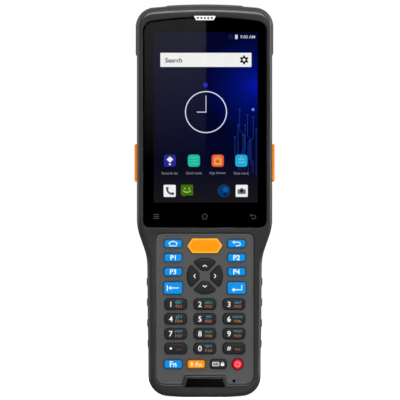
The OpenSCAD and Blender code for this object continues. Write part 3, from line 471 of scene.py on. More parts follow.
dull, matt, black = ({"Specular IOR Level": level} for level in (0.3, 0.06, 0.0))
keyLook = 0.45, 0.25, 0.1, 0.04, matt
inkLook = 0.5, 0.2, 0.05, 0.03, {}
# Rim colours: the darker blue and orange are painted shade on the bar keys' round edges, the pale amber is a
# painted highlight on the scan key's edges, and the darker red cap is painted shade round the power key's
# brighter face.
keyColours = {"key_blue": "#0088da", "key_orange": "#fc9300", "key_red": "#8c101c", "key_glow": "#f01a2a",
              "edge_blue": "#155c88", "edge_orange": "#9a5a1c", "amber_painted_highlight": "#f8b436"}
inkColours = {"cyan_ink": "#d2f6ff", "cream_ink": "#ffdca6", "pink_ink": "#fc7e8a", "white_ink": "#f0f0f0",
              "teal_ink": "#2a7f92", "brown_ink": "#a05a24"}
looks = {  # colour, roughness, grain in millimetres, bump, drift of tone, and what else the shader is set to
    "housing": ("#2b2b2b", 0.38, 0.14, 0.25, 0.1, dull),
    "bumper": ("#383838", 0.55, 0.1, 0.25, 0.1, dull),
    "hood": ("#3c3c3c", 0.45, 0.2, 0.15, 0.1, matt),
    "panel": ("#494949", 0.55, 0.1, 0.25, 0.05, dull),
    "seal": ("#161616", 0.6, 0.3, 0.25, 0.1, {}),
    "grip": ("#262626", 0.6, 0.08, 0.35, 0.1, {}),
    "trigger": ("#f48a10", 0.45, 0.1, 0.12, 0.05, matt),
    "key_dark": ("#262728", 0.45, 0.25, 0.1, 0.08, matt),
    "grille": ("#f2f2f2", 0.35, 0.3, 0.06, 0.02, {}),
    "badge": ("#060606", 0.22, 1.5, 0.05, 0.2, {}),
    "ink": ("#010101", 0.6, 0.5, 0.03, 0.1, black),
    "engine": ("#26262a", 0.35, 0.2, 0.25, 0.1, {}),
    "battery": ("#232529", 0.5, 0.2, 0.25, 0.1, {}),
    "dark_plastic": ("#161616", 0.4, 0.2, 0.25, 0.1, {}),
    "mat": ("#c9c9c4", 0.6, 0.2, 0.25, 0.1, {}),
    "magnesium": ("#9a9ca0", 0.45, 0.35, 0.4, 0.1, {"Metallic": 1.0}),
    **{name: (code, *keyLook) for name, code in keyColours.items()},
    **{name: (code, *inkLook) for name, code in inkColours.items()},
}
finish = {name: moulded(name, *look) for name, look in looks.items()}
for maker, name, *look in [
        (metal, "steel", "#b2b2b6", 0.3), (metal, "gold", "#d0a650", 0.22, 0.08),
        (board, "board", "#1c5934"), (glowing, "display", "#03051a", 0.4), (seeThrough, "glass", "#ffffff"),
        (seeThrough, "window", "#5a5d66"), (seeThrough, "scan_window", "#7a0d18", 0.02)]:
    finish[name] = maker(name, *look)
print("finishes made:", len(finish))

front = {"edgeR": 2.2, "setBack": 0.85, "brow": 0.6, "bumperTop": 23.1, "floor": 22.6, "edgeSteps": 12,
         "softer": 0.8, "groove": 1.25, "through": (21, 26), "rim": 0.12}
glassSize = {"half": 31.1, "low": 85.39, "top": 191.4, "crown": 177.28, "r": 5, "endR": 3.5,
             "z0": 24.86, "z1": 25.9, "seat": 24.5, "gap": 0.25}
earSize = {"y": 189.9, "h": 2.2, "topW": 11.2, "lowW": 8.8, "deep": 1.1,
           "holeHalf": 3.8, "pitch": 1.74, "holeR": 0.54}
panelSize = {"w": 49.2, "low": 6.4, "h": 75.99, "topR": 3, "lowR": 4.5, "z": 25.6, "t": 1.2,
             "notchTopW": 20.4, "notchLowW": 23.2, "notchY": 10.9}
badgeSize = {"y": 4.9, "h": 4.6, "lowW": 20.3, "topW": 17, "deep": 0.7}
lcdSize = {"half": 28.3, "low": 91.69, "top": 187.8}
keyRoom = {"half": 23.2, "low": 12.75, "top": 80.99}
mic = {"x": 14.7, "y": 8.1, "r": 0.8}


def glassRing(d=0.0):
    # The glass's outline set in by d: square lower end, round corners and a crowned top.
    g = glassSize
    base = g["top"] - g["crown"]
    cx, cy, a = cornerOf(g["half"], base, g["crown"], g["r"])
    return mirroredOn(np.concatenate([
        arc(g["half"] - g["endR"], g["low"] + g["endR"], g["endR"] - d, -90, 0, 12),
        arc(cx, cy, g["r"] - d, 0, a, 16),
        arc(0, base, g["crown"] - d, a + 1, 89, 8), [[0, g["top"] - d]]]))


def trapezoid(size):
    low, top, y = size["lowW"] / 2, size["topW"] / 2, size["y"]
    return rounded([[-low, y], [low, y], [top, y + size["h"]], [-top, y + size["h"]]], 0.3)


def panelShape():
    p = panelSize
    half, top, low, notch = p["w"] / 2, p["low"] + p["h"], p["notchLowW"] / 2, p["notchTopW"] / 2
    return rounded([[low, p["low"]], [half, p["low"]], [half, top], [-half, top], [-half, p["low"]],
                    [-low, p["low"]], [-notch, p["notchY"]], [notch, p["notchY"]]],
                   [0.4, p["lowR"], p["topR"], p["topR"], p["lowR"], 0.4, 0.5, 0.5], 8)


earShape, badgeShape, panelRing = trapezoid(earSize), trapezoid(badgeSize), panelShape()


def frontSkin():
    # Rings of the plan outline: up the side, then a quarter round edge that also leans in at the top end and
    # reaches further in along the grip.
    f, s = front, shell
    seam, top = s["partZ"], f["bumperTop"]
    stack = [(0.15, 0, seam), (0, 0, seam + 0.15), (0, 0, top - 1), (0, f["groove"], top - 0.5),
             (0, f["groove"], top + 0.5)]
    rings = [atHeight(outline(d, lean), z) for d, lean, z in stack]
    for t in np.linspace(0, pi / 2, f["edgeSteps"]):
        turnIn = 1 - cos(t)
        ring = outline(f["edgeR"] * turnIn, f["setBack"] + f["brow"] * turnIn)
        along = np.clip((s["waistTop"] - ring[:, 1]) / (s["waistTop"] - s["waistLow"]), 0, 1)
        ring[:, 0] *= 1 - f["softer"] / s["gripHalf"] * turnIn * along
        rings.append(atHeight(ring, s["faceZ"] - f["edgeR"] * (1 - sin(t))))
    return loft(rings)


def ringBand(z0, z1):
    # The tool for the bumper's rebate round the head: what lies further out than its inset.
    inset, low = bumperSize["deep"] + 0.05, bumperSize["low"] - play
    return carved(slab(low, past["y"], z0, z1), column(outline(inset), z0 - 1, z1 + 1))


bumperSize = {"low": 172, "z0": 3.6, "z1": 23.1, "out": 0.55, "deep": 0.9, "edge": 0.55, "fade": 1.4}
hoodSize = {"w": 39, "y": 190, "z0": 5, "z1": 18.6, "out": 1.0, "edge": 0.8}
triggerSize = {"mid": (118, 17.8), "w": 19, "h": 7, "r": 2, "out": 1.3, "foot": 31.9,
               "edge": 0.9, "flange": 1, "flangeR": 2.5}
gripSize = {"y0": 19, "y1": 66, "z0": 13.6, "z1": 23.0, "deep": 0.9, "ribs": 4, "pitch": 10.4, "ribH": 4.2,
            "ribOut": 0.5}
hoodHole = brick(-hoodSize["w"] / 2 - play, hoodSize["w"] / 2 + play, hoodSize["y"] - play, past["y"],
                 hoodSize["z0"] - play, hoodSize["z1"] + play)


def frontTools():
    face, through, g = shell["faceZ"], front["through"], gripSize
    lcd, ear, room, rim = lcdSize, earSize, keyRoom, front["rim"]
    triggerHole = sideHole(boxOf(triggerSize, play)(), 30, 36)
    gripHole = brick(16, past["x"], g["y0"] - play, g["y1"] + play, g["z0"] - play, g["z1"] + play)
    gripCore = column(outline(g["deep"]), 10, 26)
    return [
        column(outline(shell["wall"]), shell["partZ"] - 1, front["floor"]),
        well(glassRing, glassSize["seat"], face, rim, play + glassSize["gap"]),
        brick(-lcd["half"], lcd["half"], lcd["low"], lcd["top"], *through),
        well(earShape, face - 0.3 - ear["deep"], face, rim, play),
        brick(-ear["holeHalf"], ear["holeHalf"], ear["y"] + 0.5, ear["y"] + ear["h"] - 0.5, *through),
        well(panelRing, panelSize["z"] - panelSize["t"], face, 0.55, play, 6),
        brick(-room["half"], room["half"], room["low"], room["top"], *through),
        well(badgeShape, face - badgeSize["deep"], face, rim, play),
        rod(mic["x"], mic["y"], *through, mic["r"]),
        ringBand(12, bumperSize["z1"] + play),
        hoodHole, triggerHole, flipped(triggerHole),
        carved(gripHole, gripCore), carved(flipped(gripHole), gripCore)]


piece("front_frame", carved(frontSkin(), *frontTools()), "housing", stands="front_housing")
print("front frame carved")


def headBand(d):
    # A path round the head at inset d, up one side, over the crown and down the other.
    rise = np.array([0, 0.15, 0.35, 0.6, 0.9, 1.0]) * bumperSize["fade"] + bumperSize["low"]
    side = np.stack([np.full(len(rise), shell["headHalf"] - d), rise], 1)
    return mirroredOn(np.concatenate([side, crownArc(d, 0)]))


def bumperBand():
    # A rounded strip carried round the head; it swells out of the housing's side over its first stretch.
    b = bumperSize
    ring = rounded(oblong(-b["out"], b["deep"], b["z0"], b["z1"]), [b["edge"], 0.02, 0.02, b["edge"]])()
    rings = np.stack([atHeight(headBand(d), z) for d, z in ring])
    proud = np.stack([atHeight(headBand(max(d, 0.05)), z) for d, z in ring])
    up = np.clip((rings[:, :, 1] - b["low"]) / b["fade"], 0, 1)[..., None]
    grid = proud + (rings - proud) * np.sin(up * pi / 2)
    return loft(list(grid.transpose(1, 0, 2)))


piece("bumper_band", carved(bumperBand(), hoodHole), "bumper", stands="top_bumper")


def hoodBlock():
    # A rounded section carried along the crown; towards either end its top falls by a quarter round.
    h, r = hoodSize, shell["headCrown"]
    half, edge = h["w"] / 2, h["edge"]
    ease = edge * (1 - np.cos(np.linspace(0, pi / 2, 7)))
    x = np.concatenate([-half + ease, np.linspace(-half + 1.5, half - 1.5, 38), half - ease[::-1]])
    inside = np.clip((half - np.abs(x)) / edge, 0, 1)
    crown = shell["headTop"] + h["out"] - (r - np.sqrt(r * r - x * x))
    top = crown - edge * (1 - np.sqrt(1 - (1 - inside) ** 2))
    corners = [[0, h["z0"]], [0, h["z1"]], [-9, h["z1"]], [-9, h["z0"]]]
    section = rounded(corners, [edge, edge, 0.02, 0.02], 6)()[::-1]
    y = np.where(section[None, :, 0] < -8, h["y"], top[:, None] + section[None, :, 0])
    z = np.broadcast_to(section[None, :, 1], y.shape)
    return loft(list(np.stack([np.broadcast_to(x[:, None], y.shape), y, z], -1)))


windowSize = {"mid": (0, 11.8), "w": 26, "h": 8.8, "r": 1.5, "t": 1.5, "ledge": 1, "sink": 1.4}
windowShape = boxOf(windowSize)
windowTop = (shell["headTop"] + hoodSize["out"] - windowSize["sink"]
             - (windowSize["w"] / 2) ** 2 / 2 / shell["headCrown"])
windowFoot = windowTop - windowSize["t"]
hood = carved(hoodBlock(), plate(lambda d: windowShape(d - play), windowFoot, 200, plane="end"),
              plate(lambda d: windowShape(d + windowSize["ledge"]), 188, 200, plane="end"))
piece("hood", hood, "hood", stands="scan_hood")
piece("scan_glass", plate(windowShape, windowFoot, windowTop, 0.1, 0.25, plane="end"), "scan_window",
      stands="scan_window")
print("top end built")

rear = {"in": 7, "h": 5.6, "steps": 14, "coverLow": 10, "coverTop": 100, "coverH": 8, "lip": 0.4,
        "footWall": 1.6, "bayFloor": 11.6, "seam": 0.2}
cameraSize = {"mid": (-10, 159.83), "w": 23, "h": 11, "r": 2.85, "sink": 0.3, "t": 1.1,
              "holeW": 17, "holeH": 8}
speaker = {"x": 16, "pitch": 2.4, "r": 0.7, "reach": 5.8}
portSize = {"mid": (148, 9.5), "w": 17, "h": 6, "r": 1.4, "t": 1.2, "hinge": (33.2, 155.65), "knuckle": 0.7,
            "barrel": 2.8, "swing": 1.25, "plug": (7.6, 1.9, 0.8), "pullY": 140.6, "pull": (0.7, 3.6, 0.3)}
dock = {"mid": (0, 9.2), "w": 21, "h": 6, "r": 0.85, "deep": 4}
coin = {"y": 94, "mouth": 3.25, "head": 4.65, "headDeep": 1.95, "bore": 1.58, "padR": 5.7, "pad": (1.0, 3.15),
        "bossR": 3.6, "thread": 1.65, "threadTop": 5.75}
screw = {"x": 26, "y": (106, 179.83), "footX": 17.4, "footY": 5.5, "head": 2.35, "headDeep": 2.7, "bore": 1.1}


def rearRing(t, d):
    # The plan outline drawn in along a quarter ellipse: t is 90 degrees on the back face and 0 at the side.
    return atHeight(outline(d + rear["in"] * (1 - cos(t))), rear["h"] * (1 - sin(t)))


def rearSkin(deep=0.0):
    # The rear housing's outer form, or the same form set in by deep.
    turns, seam = np.linspace(pi / 2, 0, rear["steps"]), shell["partZ"]
    last = [(deep, seam)] if deep else [(0, seam - 0.15), (0.15, seam)]
    rings = [rearRing(t, deep) + [0, 0, deep] for t in turns]
    return loft(rings + [atHeight(outline(d), z) for d, z in last])


def cavity():
    # The room inside the rear housing.
    wall, deep, tall = shell["wall"], rear["in"] - 0.4, rear["h"] + 0.2
    turns = np.radians([75, 60, 45, 30, 15, 0])
    profile = [(wall + deep * (1 - cos(t)), wall + tall * (1 - sin(t))) for t in turns]
    return stacked(profile + [(wall, shell["partZ"] + 1)], outline)


def speakerHoles():
    pitch, (row, col) = speaker["pitch"], np.meshgrid(np.arange(-3, 4), np.arange(-3, 4), indexing="ij")
    holes = np.stack([(col + (row % 2) / 2) * pitch, row * sqrt(3) / 2 * pitch], -1).reshape(-1, 2)
    holes = holes[np.linalg.norm(holes, axis=1) < speaker["reach"]] + [speaker["x"], cameraSize["mid"][1]]
    return [rod(x, y, -1, 4, speaker["r"], 12) for x, y in holes]


def screwHoles():
    # The room for each screw's head, then the holes for their shanks.
    s, sides = screw, (-1, 1)
    places = [(side * s["x"], y) for side in sides for y in s["y"]]
    places += [(side * s["footX"], s["footY"]) for side in sides]
    return ([rod(x, y, -1, s["headDeep"], s["head"]) for x, y in places]
            + [rod(x, y, 0, 14, s["bore"], 16) for x, y in places])


def rearTools():
    p, c, r, low, top = portSize, cameraSize, rear, rear["coverLow"], rear["coverTop"]
    inner, hinge, middle = shell["headHalf"] - p["t"] - play, p["hinge"], p["mid"][1]
    hingeEnds = middle - p["h"] / 2 - play, middle + p["h"] / 2 + play
    bay = slab(low + r["lip"], top - r["lip"], -1, r["bayFloor"])
    return [
        slab(low, top, -1, r["coverH"]),
        within(bay, column(outline(shell["wall"]), -2, 15)),
        within(slab(top + r["footWall"], past["y"], -1, 15), cavity()),
        within(slab(-1, low - r["footWall"], -1, 15), cavity()),
        ringBand(bumperSize["z0"] - play, 14),
        hoodHole,
        sideHole(boxOf(p, play)(), inner, 36),
        brick(inner, past["x"], hinge[1], hinge[1] + p["swing"], *hingeEnds),
        sideHole(box(p["mid"][0] - 1, middle, 9.3, 3.6, 1.5)(), 30, 35),
        rod(*hinge, *hingeEnds, p["knuckle"] + play),
        plate(boxOf(dock, play), -1, dock["deep"], plane="end"),
        plate(boxOf(c, play), -1, c["sink"] + c["t"]),
        plate(box(*c["mid"], c["holeW"], c["holeH"], 2), -1, 4),
        *speakerHoles(),
        *screwHoles()]


piece("rear_shell", carved(rearSkin(), *rearTools()), "housing", stands="rear_housing")
boss = rod(0, coin["y"], coin["mouth"], rear["bayFloor"] + 0.1, coin["bossR"])
piece("cover_boss", carved(boss, rod(0, coin["y"], 0, coin["threadTop"], coin["thread"])), "housing")


def coverBand(deep, low, gap):
    # The rear wall set in by deep, over the cover's length less low at the foot and gap at the other end.
    return within(carved(rearSkin(deep), cavity()),
                  slab(rear["coverLow"] + low, rear["coverTop"] - gap, -1, rear["coverH"] - gap))


def coverSeal():
    # A dark lip in the seam round the cover, so no light passes through.
    deep, tight, under = 0.4, 0.02, rear["seam"] + 0.05
    return carved(coverBand(deep, rear["seam"] + tight, tight),
                  slab(-1, rear["coverTop"] - under, -1, rear["coverH"] - under))


coinPad = rod(0, coin["y"], *coin["pad"], coin["padR"], 40)
coverSkin = carved(coverBand(0.0, rear["seam"], rear["seam"]), coinPad, operation="UNION")
coinHoles = rod(0, coin["y"], -1, coin["headDeep"], coin["head"], 40), rod(0, coin["y"], -1, 6, coin["bore"])
piece("cover_door", carved(coverSkin, *coinHoles), "housing", "battery_cover", stands="battery_cover")
piece("cover_seal", coverSeal(), "ink", "battery_cover")
hooks = {"x": 11, "half": 3, "y": (8, 12.2), "z": (2.1, 3.2)}
lightRibs = {"x": 31.1, "half": 0.5, "y": (88.8, 99.3), "z": (4.2, 9.5)}
insides = [brick(x - s["half"], x + s["half"], *s["y"], *s["z"]) for s in (hooks, lightRibs)
           for x in (-s["x"], s["x"])]
piece("cover_hooks", joined(*insides), "housing", "battery_cover")
print("rear housing and battery cover built")

rightSide = outline(0)[:52]


def sideX(y):
    # Half width of the grip at height y.
    return np.interp(y, rightSide[:, 1], rightSide[:, 0])


def gripPad():
    # Height map over (y, z): the grip's side, raised to soft ribs, with a flat back set into the housing.
    g = gripSize
    y = np.linspace(g["y0"], g["y1"], 260)
    a = np.linspace(0, 2 * pi, 49)[:-1]
    mid, half = (g["z0"] + g["z1"]) / 2, (g["z1"] - g["z0"]) / 2
    corner = [np.sign(wave) * np.abs(wave) ** 0.25 for wave in (np.cos(a), np.sin(a))]
    yy, zz = np.meshgrid(y, mid + half * corner[1], indexing="ij")
    middles = (g["y0"] + g["y1"]) / 2 + (np.arange(g["ribs"]) - (g["ribs"] - 1) / 2) * g["pitch"]
    off = np.abs(yy[..., None] - middles).min(-1) / (g["ribH"] / 2)
    across = np.abs(zz - mid) / (half - 0.6)
    rib = np.clip(1 - off ** 6, 0, 1) ** 0.5 * np.clip(1 - across ** 8, 0, 1) ** 0.5
    ends = np.clip(np.minimum(yy - g["y0"], g["y1"] - yy) / 0.4, 0, 1) ** 0.5
    outer = sideX(yy) + g["ribOut"] * rib - 0.15 * (1 - ends)
    inner = sideX(yy) - g["deep"]
    xx = inner + (outer - inner) * (1 + corner[0])[None, :] / 2
    return loft(list(np.stack([xx, yy, zz], -1)[:, ::-1]))


pad = gripPad()
piece("grip_pads", joined(pad, flipped(pad)), "grip", stands="side_grips")


def triggerShape():
    t, foot = triggerSize, triggerSize["foot"]
    bar = plate(boxOf(t), foot, shell["headHalf"] + t["out"], 0, t["edge"], "side", 6)
    wide, high = t["w"] + 2 * t["flange"], t["h"] + 2 * t["flange"]
    flange = plate(box(*t["mid"], wide, high, t["flangeR"]), foot - 1, foot, 0.1, 0.1, "side", 2)
    return joined(bar, flange)


piece("trigger_right", triggerShape(), "trigger", "right_trigger", stands="right_trigger")
piece("trigger_left", flipped(triggerShape()), "trigger", "left_trigger", stands="left_trigger")


def portDoor():
    # The cover's outer plate, which ends at its hinge.
    p, x1 = portSize, shell["headHalf"]
    beyond = brick(30, past["x"], p["hinge"][1], 160, 0, 20)
    return carved(plate(boxOf(p), x1 - p["t"], x1, 0.1, 0.4, "side"), beyond)


def portParts():
    # The cover's hinge barrel, the plug on its inner face and its pull.
    p, (y, z) = portSize, portSize["mid"]
    return joined(rod(*p["hinge"], z - p["barrel"], z + p["barrel"], p["knuckle"]),
                  plate(box(y - 1, z, *p["plug"]), 32.0, 32.85, 0.1, 0.1, "side", 2),
                  plate(box(p["pullY"], z, *p["pull"]), 33.9, 34.25, 0, 0.15, "side", 2))


piece("port_door", portDoor(), "grip", "port_cover", stands="port_cover")
piece("port_knuckle", portParts(), "grip", "port_cover")
print("sides built")

glassLow, glassTop = glassSize["z0"], glassSize["z1"]
glassEdge = [(0.05, glassLow), (0, glassLow + 0.05), (0, glassTop - 0.25), (0.06, glassTop - 0.17),
             (0.55, glassTop - 0.02), (0.62, glassTop)]
glass = carved(stacked(glassEdge, glassRing), column(earShape(-play), 20, 30))
piece("front_glass", glass, "glass", stands="cover_glass")
screen = {"x0": -25.76, "x1": 26.59, "y0": 98.02, "y1": 183.73, "z": 24.74, "under": 0.6,
          "ink": (24.805, 24.835), "keys": 24.845}


def screenBox(more=0.0):
    x0, x1, y0, y1 = (screen[end] for end in ("x0", "x1", "y0", "y1"))
    return box((x0 + x1) / 2, (y0 + y1) / 2, x1 - x0 + more, y1 - y0 + more, 0.05)


glassInk = plate(lambda d: glassRing(d + 0.2), *screen["ink"])
inkHoles = [column(ring, 24, 26) for ring in (screenBox()(), earShape(-play))]
piece("glass_ink", carved(glassInk, *inkHoles), "ink")
earHoles = [rod((i - 2) * earSize["pitch"], earSize["y"] + earSize["h"] / 2, 20, 30, earSize["holeR"], 20)
            for i in range(5)]
ear = plate(earShape, glassTop - earSize["deep"], glassTop, 0, 0.12)
piece("earpiece_cover", carved(ear, *earHoles), "grille", stands="earpiece_grille")


def pictureMaterial():
    # Wallpaper: a blue glow near the right edge that fades outwards, and a grey foot.
    material, add, link, shader = shaded("wallpaper", "#000000", 0.5, **lit)
    sizes = {"Middle x": 25.5, "Middle z": 157.0, "Reach": 60.0}
    tree, inner, connect, given, put = newGroup("glow", sizes, ["Color"], "NodeSocketColor")
    place = inner("SeparateXYZ", {0: inner("TexCoord").outputs["Object"]}).outputs
    across, up = (maths(inner, "MULTIPLY", place[axis], 1000.0) for axis in "XZ")
    dx = maths(inner, "SUBTRACT", across, given["Middle x"])
    dz = maths(inner, "SUBTRACT", up, given["Middle z"])
    squares = [maths(inner, "POWER", d, 2.0) for d in (dx, dz)]
    far = maths(inner, "SQRT", maths(inner, "ADD", *squares))
    ramp = inner("ValToRGB", {"Fac": maths(inner, "DIVIDE", far, given["Reach"], use_clamp=True)})
    stops = [(0.0, "#0818a8"), (1.0, "#0a0a22"), (0.1, "#03127c"), (0.24, "#020d58"), (0.44, "#03062c")]
    for k, (place, code) in enumerate(stops):
        stop = ramp.color_ramp.elements[k] if k < 2 else ramp.color_ramp.elements.new(place)
        stop.position, stop.color = place, linear(code)
    connect(blend(inner, remap(inner, dz, -38.0, -58.0), ramp.outputs[0], linear("#19181d")), put["Color"])
    link(add("Group", node_tree=tree).outputs[0], shader["Emission Color"])
    return material


finish["wallpaper"] = pictureMaterial()
picture = plate(screenBox(screen["under"]), screen["z"] - 0.02, screen["z"])
piece("screen_picture", picture, "wallpaper")


def word(text, size, bold=0.0, wide=1.0):
    # Flat letters centred on the origin, as points and faces.
    curve = bpy.data.curves.new("word", "FONT")
    curve.body, curve.size, curve.offset, curve.resolution_u = text, 10, bold * 10, 3
    curve.align_x, curve.align_y = "CENTER", "CENTER"
    made = linked("word", curve)
    mesh = evaluated(made)
    bpy.data.objects.remove(made)
    points = np.zeros(len(mesh.vertices) * 3)
    mesh.vertices.foreach_get("co", points)
    points = points.reshape(-1, 3) * [size / 10 * wide, size / 10, 0]
    points[:, :2] -= (points[:, :2].min(0) + points[:, :2].max(0)) / 2
    return points, [list(face.vertices) for face in mesh.polygons]


def ribbon(first, second, closed=False):
    # The flat strip between two lines of equal length.
    n = len(first)
    return (np.column_stack([np.concatenate([first, second]), np.zeros(2 * n)]),
            [[i, n + i, n + (i + 1) % n, (i + 1) % n] for i in range(n if closed else n - 1)])


def stroke(points, width):
    # A line of the given width through the points.
    p = np.array(points, float)
    ahead = np.gradient(p, axis=0)
    ahead /= np.linalg.norm(ahead, axis=1)[:, None]
    side = ahead[:, ::-1] * [1, -1] * width / 2
    return ribbon(p - side, p + side)


def flat(shape):
    # The face of a closed outline.
    ring = shape() if callable(shape) else np.array(shape, float)
    return atHeight(ring, 0.0), [list(range(len(ring)))]


def tile(x, y, w, h, r):
    return flat(box(x, y, w, h, r))


def dot(x, y, r, n=20):
    return flat(disc(x, y, r, n))


def hoop(x, y, r, width, a0=0, a1=360, n=48):
    # A flat ring, or a part of one.
    return ribbon(arc(x, y, r - width / 2, a0, a1, n), arc(x, y, r + width / 2, a0, a1, n))


def turned(shape, angle):
    t = radians(angle)
    return shape[0] @ np.array([[cos(t), sin(t), 0], [-sin(t), cos(t), 0], [0, 0, 1]]), shape[1]


def frameOf(x, y, w, h, r, width):
    # The border of a rounded box.
    shape = box(x, y, w, h, r, 3)
    return ribbon(shape(width), shape(), True)


traceRuns = [  # x, top, step to the side and foot of each track
    (15.2, 131, 2.0, 114), (17.6, 145, 2.4, 114), (20.3, 137, -2.0, 114), (22.6, 129, 1.6, 113),
    (24.4, 141, -2.6, 111), (25.9, 135, 0, 112), (16.7, 137, 0, 116), (21.5, 142, 1.8, 117),
    (19.2, 132, -1.4, 116)]


def traces():
    # Tracks with a slanting step and a dot at their upper end, over the lower right of the wallpaper.
    shapes = []
    for i, (x, top, step, foot) in enumerate(traceRuns):
        bend = top - 9 - 1.5 * (i % 3)
        run = [(x, top), (x, bend), (x + step, bend - abs(step)), (x + step, foot)]
        shapes += [stroke(run, 0.3), dot(x, top, 0.5, 16)]
    return shapes


# What the screen shows, from the lowest level up: each entry is a name, a colour and its flat shapes.
appX, appY, dockX, dockY, iconW = (-17.6, -5.5, 6.5, 18.4), 119.1, (-17.7, 18.6), 103.9, 6.1
captions = zip(appX, ("Records list", "Quick tools", "App drawer", "Data views"))
gear = [moved(turned(tile(1.75, 0, 0.9, 1.0, 0.15), a), 19.8, 169.9) for a in range(30, 390, 60)]
handset = stroke([(-19.0, 105.7), (-19.0, 104.5), (-18.6, 103.5), (-17.9, 102.8), (-17.0, 102.4),
                  (-15.9, 102.4)], 0.95)
apps = [("navy", "#2a2a98", 1.2), ("teal", "#20c2a0", 1.4), ("orange", "#f0622c", 1.3),
        ("cyan", "#20b2e0", 1.4)]
levels = [
    [("traces", "#16348c", traces()),
     ("spark", "#6f86ff", [dot(24.3, 144.9, 0.75)])],
    [("bar", "#fafaf9", [tile(0.56, 169.9, 45.9, 7.1, 0.3)]),
     ("clock", "#e4e6ff", [hoop(0.6, 143.6, 10.35, 0.5), stroke([(0.6, 143.6), (0.6, 151.9)], 0.34),
                           stroke([(0.9, 143.6), (-4.0, 143.6)], 0.38)]),
     ("marker", "#2a2ab4", [dot(0.4, 157.2, 1.2, 40)]),
     ("status", "#dcdce6", [tile(15.9, 181.5, 1.3, 2.2, 0.2),
                            moved(word("9:00 AM", 2.2, 0.003), 21.6, 181.5)]),
     ("status_dim", "#2c2e60", [hoop(13.1, 181.5, 0.8, 0.3)]),
     *((name + "_icon", colour, [tile(x, appY, iconW, iconW, r)])
       for x, (name, colour, r) in zip(appX, apps)),
     ("white_icon", "#fafafa", [tile(x, dockY, iconW, iconW, 0.5) for x in dockX]),
     ("green_icon", "#42700f", [tile(-9.0, 104.3, 6.2, 5.4, 0.6),
                                flat([(-10.6, 102.2), (-8.9, 102.2), (-10.8, 100.9)])]),
     ("round_icon", "#0a3c6a", [dot(9.6, dockY, 3.2, 40)]),
     ("captions", "#8e8c96", [moved(word(text, 1.8, 0.004, 0.95), x, 112.8) for x, text in captions])],
    [("word", "#201e20", [moved(word("Search", 3.2, 0.02), -15.7, 169.7)]),
     ("gear", "#1c1618", [hoop(19.8, 169.9, 1.15, 0.85)] + gear),
     ("glyphs", "#e8f4ff", [flat([(-17.6, 121.3), (-19.3, 119.7), (-17.6, 118.1), (-15.9, 119.7)]),
                            tile(-17.6, 117.3, 1.0, 0.8, 0.1)]),
     ("cyan_glyph", "#86c4e0", [tile(18.4, 119.9, 3.0, 0.5, 0.1), tile(18.4, 118.3, 3.6, 0.5, 0.1),
                                tile(18.4, 121.0, 0.8, 0.6, 0.1)]),
     ("teal_glyph", "#4cd2b8", [tile(appX[1], appY + y, 3.8, 0.45, 0.1) for y in (-1.5, 0, 1.5)]),
     ("orange_glyph", "#ffa468", [frameOf(6.5, 118.8, 3.9, 3.6, 0.5, 0.9), tile(6.5, 121.3, 2.6, 0.4, 0.1)]),
     ("amber_glyph", "#c87c10", [tile(6.5, 118.8, 1.8, 1.6, 0.3)]),
     ("green_glyph", "#9cc860", [hoop(-9.0, 105.6, 2.4, 0.65, 218, 322, 14), dot(-10.1, 105.1, 0.45, 12),
                                 dot(-7.9, 105.1, 0.45, 12)]),
     ("round_glyph", "#1656a0", [dot(10.4, 104.5, 1.4)]),
     ("round_shade", "#04205c", [dot(10.2, 102.2, 0.9)]),
     ("dark_glyphs", "#3a5078", [handset, tile(-18.9, 105.2, 1.3, 1.3, 0.3),
                                 tile(-16.2, 102.5, 1.4, 1.3, 0.3)]),
     ("camera_glyph", "#77747e", [tile(18.6, 103.5, 4.2, 2.4, 0.5), tile(18.6, 105.0, 1.6, 0.5, 0.1)])],
    [("lens_glyph", "#221f36", [dot(18.6, dockY, 0.95)])],
]
for level, things in enumerate(levels, 1):
    for thing, colour, shapes in things:
        name = "screen_" + thing
        finish[name] = glowing(name, colour)
        piece(name, moved(joined(*shapes), 0, 0, screen["z"] + hair * level), name)
softKeys = [
    *(tile(-24.4, 91.0 + dy, 2.8, 0.35, 0.1) for dy in (-1.0, 0, 1.0)),
    *(stroke(line, 0.35) for line in (
        [(-1.5, 91.1), (0.0, 92.5), (1.5, 91.1)], [(-1.0, 91.2), (-1.0, 89.7), (1.0, 89.7), (1.0, 91.2)],
        [(23.2, 91.6), (25.0, 91.6), (25.6, 91.2), (25.6, 90.3), (25.0, 89.9), (23.6, 89.9)])),
    flat([(23.5, 92.4), (22.7, 91.6), (23.5, 90.8)])]
# The soft-key prints glow grey: painted light standing in for lamp light, which does not reach them beneath
# the glass.
finish["soft_key_light"] = glowing("soft_key_light", "#4c4c4c")
piece("soft_key_prints", moved(joined(*softKeys), 0, 0, screen["keys"]), "soft_key_light")
print("display built")

keyTop = {"number": 27.0, "bar": 26.9, "arrow": 26.7, "hex": 27.0, "round": 27.0}
keySize = {"flange": 0.5, "z0": 23.5, "z1": 24.3, "edge": 0.65, "dome": 0.22, "rimW": 0.45, "rimProud": 0.015}
arrowKey = {"r": 9.0, "gap": 1.3, "tip": 2.9, "corner": 0.8}
scanKey = {"topW": 12.6, "corner": 0.8, "rimLow": 0.5, "rimHigh": 0.12, "rimEdge": 0.3, "rimW": 0.85}
powerKey = {"faceR": 2.15, "deep": 0.3, "proud": 0.01, "edge": 0.1}


def arrowShape(turn):
    # A quarter petal of the arrow ring: its sides run parallel to the diagonals, its inner end is cut flat.
    r, gap, tip, corner = (arrowKey[size] for size in ("r", "gap", "tip", "corner"))
    q = gap + sqrt(2) * corner
    px = (-q + sqrt(2 * (r - corner) ** 2 - q * q)) / 2
    a = degrees(atan2(px + q, px))

    def ring(d=0.0):
        right = np.concatenate([arc(px, px + q, corner - d, -45, a, 8), arc(0, 0, r - d, a + 3, 90, 10)])
        inner = np.array([[1, 0], [-1, 0]]) * (tip - gap - d * (sqrt(2) - 1)) + [0, tip + d]
        t = radians(turn)
        spin = np.array([[cos(t), sin(t)], [-sin(t), cos(t)]])
        return np.concatenate([mirroredOn(right), inner[::-1]]) @ spin
    return ring


